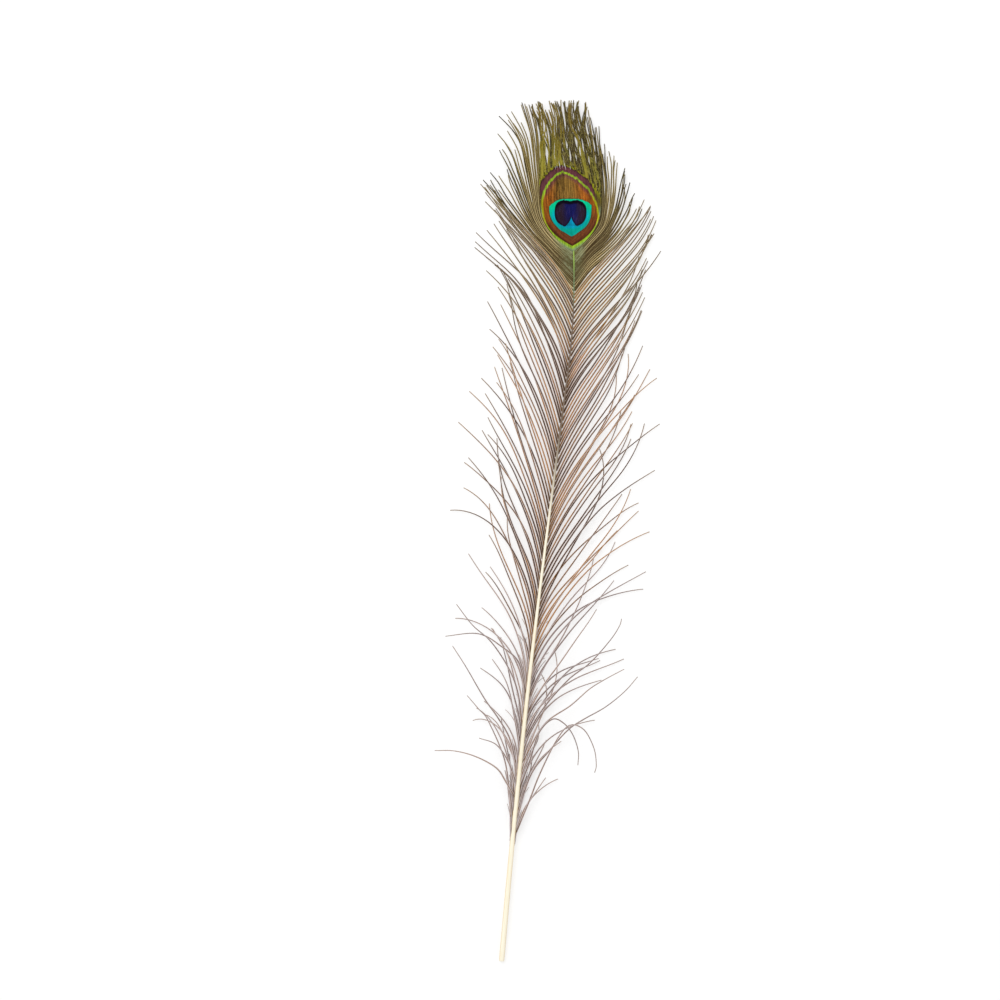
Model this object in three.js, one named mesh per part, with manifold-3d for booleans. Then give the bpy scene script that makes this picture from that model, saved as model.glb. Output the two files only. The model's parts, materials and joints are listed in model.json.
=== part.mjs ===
// A peacock tail feather with its eye, lying face up on its barbs.
//
// Millimetres, +Z up. The shaft runs along +Y from the bare quill to the crest, and the
// coloured face looks up. Outlines and routes are measured from the quill's end and the
// line from there to the middle of the eye; the group then puts the middle of the
// feather's footprint at the origin, with the surface that it lies on at z = 0.
//
// The barbs are hundreds of separate filaments. Those that stand together are one flat
// solid here, which reaches their tips, and each long stray barb near the quill is a
// solid of its own.

import * as THREE from 'three';
import { mergeVertices } from 'three/addons/utils/BufferGeometryUtils.js';
import Module from 'manifold-3d';

const wasm = await Module();
wasm.setup();

// ---------------------------------------------------------------- driving dimensions
const GAP = 0.3; // clear of every neighbour

const SHAFT_LENGTH = 262; // quill end to where the shaft fades out inside the eye
const QUILL_WIDTH = 2.0;
const SHAFT_TIP_WIDTH = 0.3;
const SHAFT_TAPER = 1.15; // 1 is a straight taper, more keeps the quill thick for longer
const SHAFT_STEPS = 48;
const SHAFT_SIDES = 12;

// The shaft's middle line: nearly straight, then a long bow to the right below the eye,
// and a low arch over the surface.
const SHAFT_POINTS = [
  [0.0, 0, 1.0],
  [-0.1, 45, 2.4],
  [0.4, 95, 3.7],
  [1.6, 140, 4.0],
  [3.4, 190, 3.3],
  [4.2, 218, 2.6],
  [2.9, 240, 2.0],
  [0.2, SHAFT_LENGTH, 1.5],
];

const VANE_ROOT = 106; // lowest barb of the dense vanes
const VANE_REACH = 33; // width of one side of the vane
const VANE_EDGE_HEIGHT = 0.8; // top of the barb tips
const VANE_RISE = 0.5; // top of the barbs over the shaft's middle line
const VANE_END = 250; // inside the eye, which the vanes are cut back from
const VANE_EDGE_STEPS = 14;

// Outer edges from the lowest barb up: tips, with the notches between them.
const LEFT_EDGE = [
  [-9.0, 120.0], [-19.7, 131.8], [-9.5, 134.0], [-5.0, 141.0],
  [-19.0, 161.5], [-32.2, 173.7], [-25.0, 176.5], [-32.9, 186.1],
  [-22.5, 185.0], [-28.4, 194.1], [-18.5, 193.5], [-16.3, 203.4],
  [-26.3, 209.3], [-20.0, 212.5], [-26.0, 229.7], [-15.5, 226.5],
  [-18.3, 235.3], [-13.5, 236.0], [-19.7, 244.3], [-25.6, 249.8],
  [-15.5, 248.5], [-20.4, 254.3], [-16.5, 254.2], [-25.0, 262.8],
  [-21.0, 262.0], [-29.8, 271.6], [-24.2, 268.0], [-25.3, 271.6],
  [-20.0, 262.0], [-8.5, 252.0],
];
const RIGHT_EDGE = [
  [6.2, 120.4], [17.3, 131.5], [24.2, 138.4], [30.4, 146.7],
  [25.5, 145.5], [35.6, 155.4], [12.5, 144.5], [17.3, 149.8],
  [13.5, 150.0], [22.5, 158.0], [19.5, 160.0], [30.4, 178.9],
  [25.0, 176.5], [29.4, 184.8], [23.5, 183.5], [27.3, 194.8],
  [22.0, 193.0], [27.3, 201.7], [22.0, 201.5], [26.0, 208.3],
  [20.5, 206.5], [28.4, 218.0], [19.5, 213.5], [21.1, 225.2],
  [19.0, 226.5], [26.0, 238.0], [19.5, 233.5], [22.1, 249.8],
  [18.5, 246.0], [23.2, 255.0], [18.5, 252.5], [22.8, 260.4],
  [18.8, 256.5], [21.8, 263.0], [14.8, 257.6], [9.0, 249.5],
];

const EYE_BOTTOM = [0.3, 246.5];
const EYE_TOP = [-2.2, 277.2];
const EYE_HALF_WIDTH = 10.4;
const EYE_WIDEST = 259; // distance of the widest place from the quill's end
const EYE_HEIGHT = 2.8;
const EYE_CURVE_STEPS = 10;

const CREST_HEIGHT = 2.4;
const CREST_EDGE = [
  [-8.5, 253.0], [-19.8, 263.0], [-27.0, 280.3], [-20.0, 275.0],
  [-27.3, 286.8], [-19.5, 284.0], [-26.6, 292.7], [-19.0, 290.5],
  [-20.8, 296.5], [-16.5, 293.0], [-15.6, 298.3], [-12.0, 294.0],
  [-9.3, 298.3], [-7.0, 296.0], [-3.6, 300.0], [-1.8, 293.5],
  [2.4, 300.0], [2.2, 290.5], [5.5, 289.3], [4.6, 284.0],
  [9.3, 284.4], [9.3, 277.5], [13.1, 281.0], [12.8, 273.0],
  [18.7, 275.8], [15.5, 267.5], [19.2, 266.0], [14.2, 258.6], [9.0, 250.5],
];

const WISP_ROOT_RADIUS = 0.4;
const WISP_TIP_RADIUS = 0.2;
const WISP_STEPS = 16;
const WISP_SIDES = 6;

// The long stray barbs between the quill and the vanes: the place on the shaft that each
// one leaves, then the points that it passes through to its tip.
const LEFT_WISPS = [
  { root: 57, through: [[-4.2, 62.3, 5.5], [-8.0, 67.0, 8.0], [-15.5, 70.3, 8.5],
    [-23.0, 71.4, 6.0], [-29.8, 70.7, 2.5]] },
  { root: 62, through: [[-4.5, 70.0, 5.2], [-9.0, 75.0, 5.8], [-14.9, 76.5, 4.0]] },
  { root: 50, through: [[-3.0, 60.5, 3.0], [-5.9, 71.0, 3.4], [-12.5, 83.0, 4.0],
    [-16.0, 86.5, 3.6], [-20.4, 90.7, 2.0]] },
  { root: 66, through: [[-4.2, 77.0, 3.6], [-9.0, 84.0, 4.0], [-14.5, 90.5, 4.0],
    [-21.5, 100.3, 3.5], [-27.0, 107.3, 2.0]] },
  { root: 81, through: [[-2.9, 93.0, 4.0], [-6.9, 101.4, 4.6], [-13.8, 110.0, 4.8],
    [-20.8, 115.2, 4.2], [-27.0, 121.8, 2.2]] },
  { root: 93, through: [[-2.8, 102.0, 5.4], [-5.4, 105.8, 6.6], [-10.4, 109.0, 7.4],
    [-15.6, 111.8, 7.2], [-20.8, 112.4, 5.6], [-29.8, 110.4, 2.0]] },
];
const RIGHT_WISPS = [
  { root: 44, through: [[4.5, 57.0, 5.0], [6.9, 65.7, 7.0], [11.4, 77.8, 9.2],
    [15.6, 84.0, 9.8], [20.8, 83.0, 9.0], [24.9, 76.8, 6.5], [26.3, 71.0, 4.0], [26.0, 68.2, 2.6]] },
  { root: 60, through: [[3.2, 70.0, 4.4], [5.5, 80.3, 6.4], [9.7, 85.5, 7.2],
    [13.8, 84.4, 6.8], [17.3, 80.6, 5.8], [19.7, 75.0, 3.6], [20.0, 70.2, 2.0]] },
  { root: 69, through: [[6.9, 83.0, 4.0], [15.6, 90.7, 4.6], [21.5, 96.9, 4.4],
    [27.0, 101.0, 3.4], [32.9, 104.8, 2.0]] },
  { root: 51, through: [[4.2, 65.7, 3.0], [9.7, 74.4, 3.6], [15.6, 82.3, 4.0],
    [20.8, 86.5, 4.0], [27.7, 91.3, 3.6], [33.9, 97.2, 2.8], [38.2, 103.1, 1.6]] },
  { root: 77, through: [[5.9, 88.2, 4.2], [13.8, 99.3, 4.8], [20.8, 105.9, 4.6],
    [27.0, 114.2, 3.8], [29.8, 119.4, 3.0], [30.4, 122.1, 2.2]] },
  { root: 86, through: [[5.2, 96.0, 4.4], [10.4, 104.8, 4.8], [15.6, 114.0, 4.4],
    [19.0, 119.8, 3.4], [21.5, 124.6, 2.2]] },
];

// ---------------------------------------------------------------- finishes
const keratin = () => new THREE.MeshStandardMaterial({ color: 0xf2e2bd, roughness: 0.42 });
const looseBarb = () => new THREE.MeshStandardMaterial({ color: 0x8e7563, roughness: 0.7 });
const greyBarb = () => new THREE.MeshStandardMaterial({ color: 0x9a8f8b, roughness: 0.75 });
const eyeBarb = () => new THREE.MeshStandardMaterial({ color: 0x1f6f74, roughness: 0.4, metalness: 0.3 });
const crestBarb = () => new THREE.MeshStandardMaterial({ color: 0x5f6427, roughness: 0.6 });

// ---------------------------------------------------------------- shapes
const shaftLine = new THREE.CatmullRomCurve3(SHAFT_POINTS.map((p) => new THREE.Vector3(...p)));

/** The shaft's width at a distance from the quill's end. */
function shaftWidth(y) {
  const along = THREE.MathUtils.clamp(y / SHAFT_LENGTH, 0, 1);
  return THREE.MathUtils.lerp(QUILL_WIDTH, SHAFT_TIP_WIDTH, along ** SHAFT_TAPER);
}

/** The point of the shaft's middle line at a distance from the quill's end. */
function shaftPoint(y) {
  let low = 0;
  let high = 1;
  for (let i = 0; i < 30; i += 1) {
    const middle = (low + high) / 2;
    if (shaftLine.getPoint(middle).y < y) low = middle;
    else high = middle;
  }
  return shaftLine.getPoint(low);
}

/** A regular section of radius 1, as a shape. */
function roundSection(sides) {
  const section = new THREE.Shape();
  for (let i = 0; i < sides; i += 1) {
    const turn = ((i + 0.5) * 2 * Math.PI) / sides;
    const [x, z] = [Math.cos(turn), Math.sin(turn)];
    if (i === 0) section.moveTo(x, z);
    else section.lineTo(x, z);
  }
  return section;
}

/**
 * A closed bar along a curve. The section is extruded straight, and each of its slices is
 * then moved to its place on the curve and sized there.
 */
function sweep(section, curve, steps, sizeAt) {
  const bar = new THREE.ExtrudeGeometry(section, { depth: 1, steps, bevelEnabled: false });
  const corners = bar.getAttribute('position');
  const up = new THREE.Vector3(0, 0, 1);
  for (let i = 0; i < corners.count; i += 1) {
    const along = THREE.MathUtils.clamp(corners.getZ(i), 0, 1);
    const centre = curve.getPoint(along);
    const ahead = curve.getTangent(along);
    const side = new THREE.Vector3().crossVectors(up, ahead).normalize();
    const top = new THREE.Vector3().crossVectors(ahead, side).normalize();
    const size = sizeAt(along, centre);
    centre.addScaledVector(side, corners.getX(i) * size);
    centre.addScaledVector(top, corners.getY(i) * size);
    corners.setXYZ(i, centre.x, centre.y, centre.z);
  }
  return bar;
}

/** A flat-bottomed plate of an outline, whose top lies at heightAt over each corner. */
function plate(outline, heightAt, bottom = 0) {
  const solid = new THREE.ExtrudeGeometry(new THREE.Shape(outline), { depth: 1, bevelEnabled: false });
  const corners = solid.getAttribute('position');
  for (let i = 0; i < corners.count; i += 1) {
    const [x, y] = [corners.getX(i), corners.getY(i)];
    corners.setZ(i, corners.getZ(i) > 0.5 ? heightAt(x, y) : bottom);
  }
  return solid;
}

/** A geometry as a solid that can be cut. */
function toSolid(geometry) {
  const bare = geometry.clone();
  bare.deleteAttribute('normal');
  bare.deleteAttribute('uv');
  const merged = mergeVertices(bare, 1e-4);
  return new wasm.Manifold(new wasm.Mesh({
    numProp: 3,
    vertProperties: Float32Array.from(merged.getAttribute('position').array),
    triVerts: Uint32Array.from(merged.getIndex().array),
  }));
}

/** A geometry with another one cut out of it. */
function cut(geometry, tool) {
  const left = toSolid(geometry).subtract(toSolid(tool)).getMesh();
  const result = new THREE.BufferGeometry();
  result.setAttribute('position', new THREE.BufferAttribute(left.vertProperties, 3));
  result.setIndex(new THREE.BufferAttribute(left.triVerts, 1));
  result.computeVertexNormals();
  return result;
}

/** The eye's outline, pointed below and ogival above, grown about its middle. */
function eyeOutline(growth = 0) {
  const half = EYE_HALF_WIDTH + growth;
  const outline = new THREE.Shape();
  const [low, high] = [EYE_BOTTOM[1] - growth, EYE_TOP[1] + growth];
  outline.moveTo(EYE_BOTTOM[0], low);
  outline.bezierCurveTo(5.5, low + 1.2, half, EYE_WIDEST - 8, half, EYE_WIDEST);
  outline.bezierCurveTo(half, EYE_WIDEST + 8, 4.2, high - 4, EYE_TOP[0], high);
  outline.bezierCurveTo(-8.2, high - 4, -half, EYE_WIDEST + 8, -half, EYE_WIDEST);
  outline.bezierCurveTo(-half, EYE_WIDEST - 8, -5.5, low + 1.2, EYE_BOTTOM[0], low);
  return outline.getPoints(EYE_CURVE_STEPS).slice(0, -1);
}

/** The tall bar that leaves room for the shaft under the eye. */
function shaftGroove() {
  const [top, bottom] = [1, -8]; // in half widths of the shaft with its gap
  const slot = new THREE.Shape();
  slot.moveTo(-1, bottom);
  slot.lineTo(1, bottom);
  slot.lineTo(1, top);
  slot.lineTo(-1, top);
  slot.closePath();
  return sweep(slot, shaftLine, SHAFT_STEPS, (along, centre) => shaftWidth(centre.y) / 2 + GAP);
}

/** One side's vane: its inner edge follows the shaft, its outer edge the barb tips. */
function vane(side, edge) {
  const inner = [];
  for (let i = 0; i <= VANE_EDGE_STEPS; i += 1) {
    const y = THREE.MathUtils.lerp(VANE_END, VANE_ROOT, i / VANE_EDGE_STEPS);
    const x = shaftPoint(y).x + side * (shaftWidth(y) / 2 + GAP);
    inner.push(new THREE.Vector2(x, y));
  }
  const outline = [...edge.map((p) => new THREE.Vector2(...p)), ...inner];
  const heightAt = (x, y) => {
    const middle = shaftPoint(y);
    const out = THREE.MathUtils.clamp(Math.abs(x - middle.x) / VANE_REACH, 0, 1);
    return THREE.MathUtils.lerp(middle.z + VANE_RISE, VANE_EDGE_HEIGHT, out);
  };
  return cut(plate(outline, heightAt), eyeRecess());
}

/** The block that keeps the vanes and the crest clear of the eye. */
function eyeRecess() {
  const [top, bottom] = [20, -5]; // past both faces of every plate
  return plate(eyeOutline(GAP), () => top, bottom);
}

/** A stray barb: it leaves the shaft's side and tapers to its tip. */
function wisp(side, { root, through }) {
  const start = shaftPoint(root);
  start.x += side * (shaftWidth(root) / 2 + GAP + WISP_ROOT_RADIUS);
  const route = new THREE.CatmullRomCurve3([start, ...through.map((p) => new THREE.Vector3(...p))]);
  const radius = (along) => THREE.MathUtils.lerp(WISP_ROOT_RADIUS, WISP_TIP_RADIUS, along);
  return sweep(roundSection(WISP_SIDES), route, WISP_STEPS, radius);
}

// ---------------------------------------------------------------- the feather
const feather = new THREE.Group();

function add(name, geometry, material) {
  const piece = new THREE.Mesh(geometry, material);
  piece.name = name;
  feather.add(piece);
}

const shaftSize = (along, centre) => shaftWidth(centre.y) / 2;
add('shaft', sweep(roundSection(SHAFT_SIDES), shaftLine, SHAFT_STEPS, shaftSize), keratin());
add('left_vane', vane(-1, LEFT_EDGE), looseBarb());
add('right_vane', vane(1, RIGHT_EDGE), looseBarb());
add('eye', cut(plate(eyeOutline(), () => EYE_HEIGHT), shaftGroove()), eyeBarb());

const crestOutline = CREST_EDGE.map((p) => new THREE.Vector2(...p));
add('crest', cut(plate(crestOutline, () => CREST_HEIGHT), eyeRecess()), crestBarb());

LEFT_WISPS.forEach((route, i) => add(`left_wisp_${i + 1}`, wisp(-1, route), greyBarb()));
RIGHT_WISPS.forEach((route, i) => add(`right_wisp_${i + 1}`, wisp(1, route), greyBarb()));

// The origin: the middle of the footprint, on the surface below.
const middle = new THREE.Box3().setFromObject(feather, true).getCenter(new THREE.Vector3());
feather.position.set(-middle.x, -middle.y, 0);

export default feather;
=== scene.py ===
"""The looks of a peacock tail feather with its eye, lying face up on its barbs.

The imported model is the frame: metres, +Y along the shaft from the quill to the crest, +Z out
of the coloured face. Barbs are laid out in millimetres from the quill's end, as a maker
would measure them along the shaft, and are moved into the frame when their mesh is made.
"""

import json
import logging
import math
from dataclasses import dataclass, field, replace
from enum import Enum
from typing import Callable, Mapping, Sequence

import bpy
import numpy as np
from mathutils import Matrix, Vector

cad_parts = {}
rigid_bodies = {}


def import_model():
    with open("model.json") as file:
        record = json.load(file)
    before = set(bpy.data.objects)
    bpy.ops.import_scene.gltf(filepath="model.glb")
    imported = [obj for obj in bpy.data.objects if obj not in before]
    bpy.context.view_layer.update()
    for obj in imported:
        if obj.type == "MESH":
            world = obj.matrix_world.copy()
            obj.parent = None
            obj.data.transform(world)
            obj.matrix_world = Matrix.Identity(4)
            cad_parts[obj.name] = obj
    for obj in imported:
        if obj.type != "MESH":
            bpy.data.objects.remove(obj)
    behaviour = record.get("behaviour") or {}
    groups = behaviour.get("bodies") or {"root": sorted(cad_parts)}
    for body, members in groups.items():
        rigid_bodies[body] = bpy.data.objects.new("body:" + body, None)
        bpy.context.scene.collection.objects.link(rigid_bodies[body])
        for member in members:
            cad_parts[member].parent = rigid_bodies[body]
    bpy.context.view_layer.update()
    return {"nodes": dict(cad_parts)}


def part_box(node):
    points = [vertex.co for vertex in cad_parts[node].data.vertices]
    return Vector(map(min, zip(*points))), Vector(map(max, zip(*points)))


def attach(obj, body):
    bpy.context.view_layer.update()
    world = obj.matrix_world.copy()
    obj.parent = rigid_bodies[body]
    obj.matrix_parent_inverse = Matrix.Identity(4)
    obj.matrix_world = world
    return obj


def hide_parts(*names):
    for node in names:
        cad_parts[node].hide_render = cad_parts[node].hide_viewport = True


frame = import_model()

LOG = logging.getLogger("peacock_feather")
MM = 0.001
BODY = "root"
UP = np.array([0.0, 0.0, 1.0])
BAKE_MAP = "OFBake"

EYE_HEART_Y = 259.6  # middle of the eye's dark heart, from the quill's end
EYE_TURN = math.radians(5.3)  # the eye's own upright leans this far left of the shaft's line

Colour = tuple[float, float, float, float]


class Side(Enum):
    """The two sides of the shaft, as the face is seen with the crest up."""

    LEFT = -1
    RIGHT = 1

    @property
    def word(self) -> str:
        """The side's name, as CAD nodes begin with it."""
        return self.name.lower()


def paint(red: int, green: int, blue: int) -> Colour:
    """A display colour as linear light.

    Args:
        red: the red channel, 0 to 255.
        green: the green channel.
        blue: the blue channel.

    Returns:
        The colour, with an alpha of 1.
    """
    linear = []
    for channel in (red, green, blue):
        share = channel / 255
        linear.append(share / 12.92 if share <= 0.04045 else ((share + 0.055) / 1.055) ** 2.4)
    return (*linear, 1.0)


# ---------------------------------------------------------------- the frame's measures
@dataclass(frozen=True)
class ShaftLine:
    """The shaft's middle line and width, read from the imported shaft.

    Attributes:
        origin: the quill's end in the row frame, in metres.
        stations: distances from the quill's end, in millimetres.
        across: the line's offset to the right at each station, in millimetres.
        height: the line's height over the surface, in millimetres.
        width: the shaft's width, in millimetres.
    """

    EYE_BOTTOM = 246.5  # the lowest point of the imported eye, from the quill's end
    RING_GAP = 1.0  # more than this along the shaft parts two rings of its corners
    LEAN_REACH = 6.0  # how far to each side of a place the line's direction is read
    BARB_SEAT = 0.7  # where a barb leaves the shaft, as a share of its half width

    origin: Vector
    stations: np.ndarray
    across: np.ndarray
    height: np.ndarray
    width: np.ndarray

    @classmethod
    def from_frame(cls) -> "ShaftLine":
        """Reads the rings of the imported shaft.

        Returns:
            The line in feather millimetres.
        """
        low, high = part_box("eye")
        origin = Vector(((low.x + high.x) / 2, low.y - cls.EYE_BOTTOM * MM, 0.0))
        mesh = frame["nodes"]["shaft"].data
        corners = np.array([vertex.co for vertex in mesh.vertices], float)
        corners = (corners - np.array(origin)) / MM
        corners = corners[np.argsort(corners[:, 1])]
        breaks = np.nonzero(np.diff(corners[:, 1]) > cls.RING_GAP)[0] + 1
        rings = np.split(corners, breaks)
        middles = np.array([(ring.min(0) + ring.max(0)) / 2 for ring in rings])
        widths = np.array([ring[:, 0].max() - ring[:, 0].min() for ring in rings])
        return cls(origin, middles[:, 1], middles[:, 0], middles[:, 2], widths)

    def at(self, y: float) -> np.ndarray:
        """The line's point at a distance from the quill's end."""
        return np.array([np.interp(y, self.stations, self.across), y, self.height_at(y)])

    def height_at(self, y: float) -> float:
        """The line's height at a distance from the quill's end."""
        return float(np.interp(y, self.stations, self.height))

    def half_width(self, y: float) -> float:
        """Half of the shaft's width at a distance from the quill's end."""
        return float(np.interp(y, self.stations, self.width)) / 2

    def lean(self, y: float) -> float:
        """The line's direction.

        Args:
            y: the distance from the quill's end.

        Returns:
            Radians right of +Y.
        """
        ahead, behind = self.at(y + self.LEAN_REACH), self.at(y - self.LEAN_REACH)
        return math.atan2(ahead[0] - behind[0], 2 * self.LEAN_REACH)

    def barb_root(self, y: float, side: Side) -> np.ndarray:
        """Where a barb leaves the shaft's flank.

        Args:
            y: the distance from the quill's end.
            side: the side of the shaft.

        Returns:
            The barb's first point.
        """
        root = self.at(y)
        root[0] += side.value * self.half_width(y) * self.BARB_SEAT
        return root

    def place(self, points: np.ndarray) -> np.ndarray:
        """Feather millimetres as metres in the row frame."""
        return points * MM + np.array(self.origin)


# ---------------------------------------------------------------- shader sheets
class Signal:
    """A shader value that takes part in Python arithmetic."""

    def __init__(self, sheet: "NodeSheet", socket: bpy.types.NodeSocket) -> None:
        """Wraps one output socket of a sheet."""
        self.sheet = sheet
        self.socket = socket

    def _maths(self, operation: str, *values: "Signal | float") -> "Signal":
        """One Math node, fed with values in the order of its sockets."""
        return self.sheet.node("ShaderNodeMath", {"operation": operation}, dict(enumerate(values)))

    def __add__(self, other: "Signal | float") -> "Signal":
        """The sum."""
        return self._maths("ADD", self, other)

    __radd__ = __add__

    def __sub__(self, other: "Signal | float") -> "Signal":
        """The difference."""
        return self._maths("SUBTRACT", self, other)

    def __rsub__(self, other: float) -> "Signal":
        """The difference from a number."""
        return self._maths("SUBTRACT", other, self)

    def __mul__(self, other: "Signal | float") -> "Signal":
        """The product."""
        return self._maths("MULTIPLY", self, other)

    __rmul__ = __mul__

    def __truediv__(self, other: "Signal | float") -> "Signal":
        """The quotient."""
        return self._maths("DIVIDE", self, other)

    def __rtruediv__(self, other: float) -> "Signal":
        """A number over the value."""
        return self._maths("DIVIDE", other, self)

    def __pow__(self, power: float) -> "Signal":
        """The value raised to a power."""
        return self._maths("POWER", self, power)

    def __abs__(self) -> "Signal":
        """The value without its sign."""
        return self._maths("ABSOLUTE", self)

    def above(self, floor: "Signal | float") -> "Signal":
        """The larger of the value and another."""
        return self._maths("MAXIMUM", self, floor)

    def below(self, ceiling: "Signal | float") -> "Signal":
        """The smaller of the value and another."""
        return self._maths("MINIMUM", self, ceiling)

    def softly_below(self, ceiling: "Signal | float", soft: float) -> "Signal":
        """The smaller of the value and another, with the corner between them rounded."""
        return self._maths("SMOOTH_MIN", self, ceiling, soft)

    def ramp(self, start: float, end: float) -> "Signal":
        """A smooth step from 0 at start to 1 at end, which may be the lower of the two.

        Args:
            start: the value that gives 0.
            end: the value that gives 1.

        Returns:
            The step, between 0 and 1.
        """
        low, high = min(start, end), max(start, end)
        settings = {"interpolation_type": "SMOOTHSTEP"}
        step = self.sheet.node("ShaderNodeMapRange", settings, {0: self, 1: low, 2: high})
        return step if start < end else 1 - step

    def band(self, start: float, end: float, soft: float) -> "Signal":
        """1 between two values, fading to 0 over a soft edge outside them."""
        return self.ramp(start - soft, start + soft) * self.ramp(end + soft, end - soft)


class NodeSheet:
    """A new material and the nodes that are drawn on it."""

    def __init__(self, name: str) -> None:
        """Starts an empty material."""
        self.material = bpy.data.materials.new(name)
        self.material.use_nodes = True
        self.material.node_tree.nodes.clear()

    def node(
        self,
        kind: str,
        settings: Mapping[str, object] | None = None,
        inputs: Mapping[int | str, object] | None = None,
        output: int | str = 0,
    ) -> Signal:
        """Adds any node.

        Args:
            kind: the node's type.
            settings: its own settings, set before its sockets.
            inputs: a value or a Signal for each socket that isn't left alone.
            output: the socket that is handed back.

        Returns:
            The chosen output.
        """
        made = self.material.node_tree.nodes.new(kind)
        for key, value in (settings or {}).items():
            setattr(made, key, value)
        for key, value in (inputs or {}).items():
            if isinstance(value, Signal):
                self.material.node_tree.links.new(value.socket, made.inputs[key])
            else:
                made.inputs[key].default_value = value
        return Signal(self, made.outputs[output])

    def blend(
        self,
        factor: Signal | float,
        first: Signal | Colour,
        second: Signal | Colour,
        way: str = "MIX",
    ) -> Signal:
        """Mixes two colours.

        Args:
            factor: the share of the second.
            first: the colour at 0.
            second: the colour at 1.
            way: the blend type.

        Returns:
            The mixed colour.
        """
        settings = {"data_type": "RGBA", "blend_type": way}
        return self.node("ShaderNodeMix", settings, {0: factor, 6: first, 7: second}, output=2)

    def mark(self, name: str) -> Signal:
        """A number that the mesh carries at each point."""
        return self.node("ShaderNodeAttribute", {"attribute_name": name}, output="Fac")

    def grain(self, vector: Signal, scale: float, detail: float = 2.0) -> Signal:
        """Noise round 0.5 over a vector."""
        return self.node("ShaderNodeTexNoise", {}, {"Vector": vector, "Scale": scale, "Detail": detail})

    def objects(self) -> Signal:
        """The point in the row frame, in metres."""
        return self.node("ShaderNodeTexCoord", output="Object")

    def finish(self, base: Signal, **sockets: object) -> bpy.types.Material:
        """Ends the sheet with one Principled surface.

        Args:
            base: the base colour.
            sockets: the other sockets, named with _ for a blank.

        Returns:
            The material.
        """
        inputs = {key.replace("_", " "): value for key, value in sockets.items()}
        surface = self.node("ShaderNodeBsdfPrincipled", {}, {"Base Color": base, **inputs})
        output = self.material.node_tree.nodes.new("ShaderNodeOutputMaterial")
        self.material.node_tree.links.new(surface.socket, output.inputs["Surface"])
        return self.material


# ---------------------------------------------------------------- finishes
@dataclass(frozen=True)
class KeratinFinish:
    """Smooth horn, darker towards the eye: cream along the middle and tan at the sides, partly its own
    colours and partly a painted highlight along the top and painted shade down the sides.
    """

    # middle: cream, partly the horn's own colour and partly a painted highlight along the top of the round
    # stem
    middle: Colour = paint(247, 240, 219)
    # flank and high_flank: tan and brown low and high up the stem, partly its own colour and partly
    # painted shade down the round stem's sides
    flank: Colour = paint(228, 204, 158)
    high_flank: Colour = paint(156, 108, 52)
    tip: Colour = paint(116, 98, 82)
    sage: Colour = paint(112, 128, 88)
    lime: Colour = paint(152, 188, 76)
    streak: Colour = paint(238, 218, 176)
    streak_scale: tuple[float, float, float] = (4200.0, 90.0, 4200.0)  # fine across, long up the stem
    ridge_strength: float = 0.12
    ridge_height: float = 0.00006  # in metres

    def dress(self) -> bpy.types.Material:
        """Draws the material.

        Returns:
            The material, which reads the stem's aside and along numbers.
        """
        sheet = NodeSheet("feather_shaft_keratin")
        aside, along = sheet.mark("aside"), sheet.mark("along")
        point = sheet.objects()
        long_grain = sheet.node(
            "ShaderNodeMapping", {"vector_type": "POINT"}, {"Vector": point, "Scale": self.streak_scale},
        )
        streaks = sheet.grain(long_grain, 1.0, 3.0)
        base = sheet.blend(streaks.ramp(0.48, 0.72) * 0.5, self.middle, self.streak)
        edge = sheet.blend(along.ramp(0.3, 0.55), self.flank, self.high_flank)
        # painted highlight and shade: cream towards the top line, the flank colours towards the sides, by
        # the aside mark
        base = sheet.blend(aside.ramp(0.5, 1.0) * 0.85, base, edge)
        base = sheet.blend(along.ramp(0.56, 0.72), base, self.tip)
        base = sheet.blend(along.ramp(0.86, 0.9), base, self.sage)
        base = sheet.blend(along.ramp(0.9, 0.94), base, self.lime)
        ridge = sheet.node(
            "ShaderNodeBump", {},
            {"Strength": self.ridge_strength, "Distance": self.ridge_height, "Height": streaks},
        )
        return sheet.finish(
            base, Roughness=0.36, Normal=ridge, Coat_Weight=0.15, Coat_Roughness=0.3,
            Specular_IOR_Level=0.3,
        )


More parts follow.
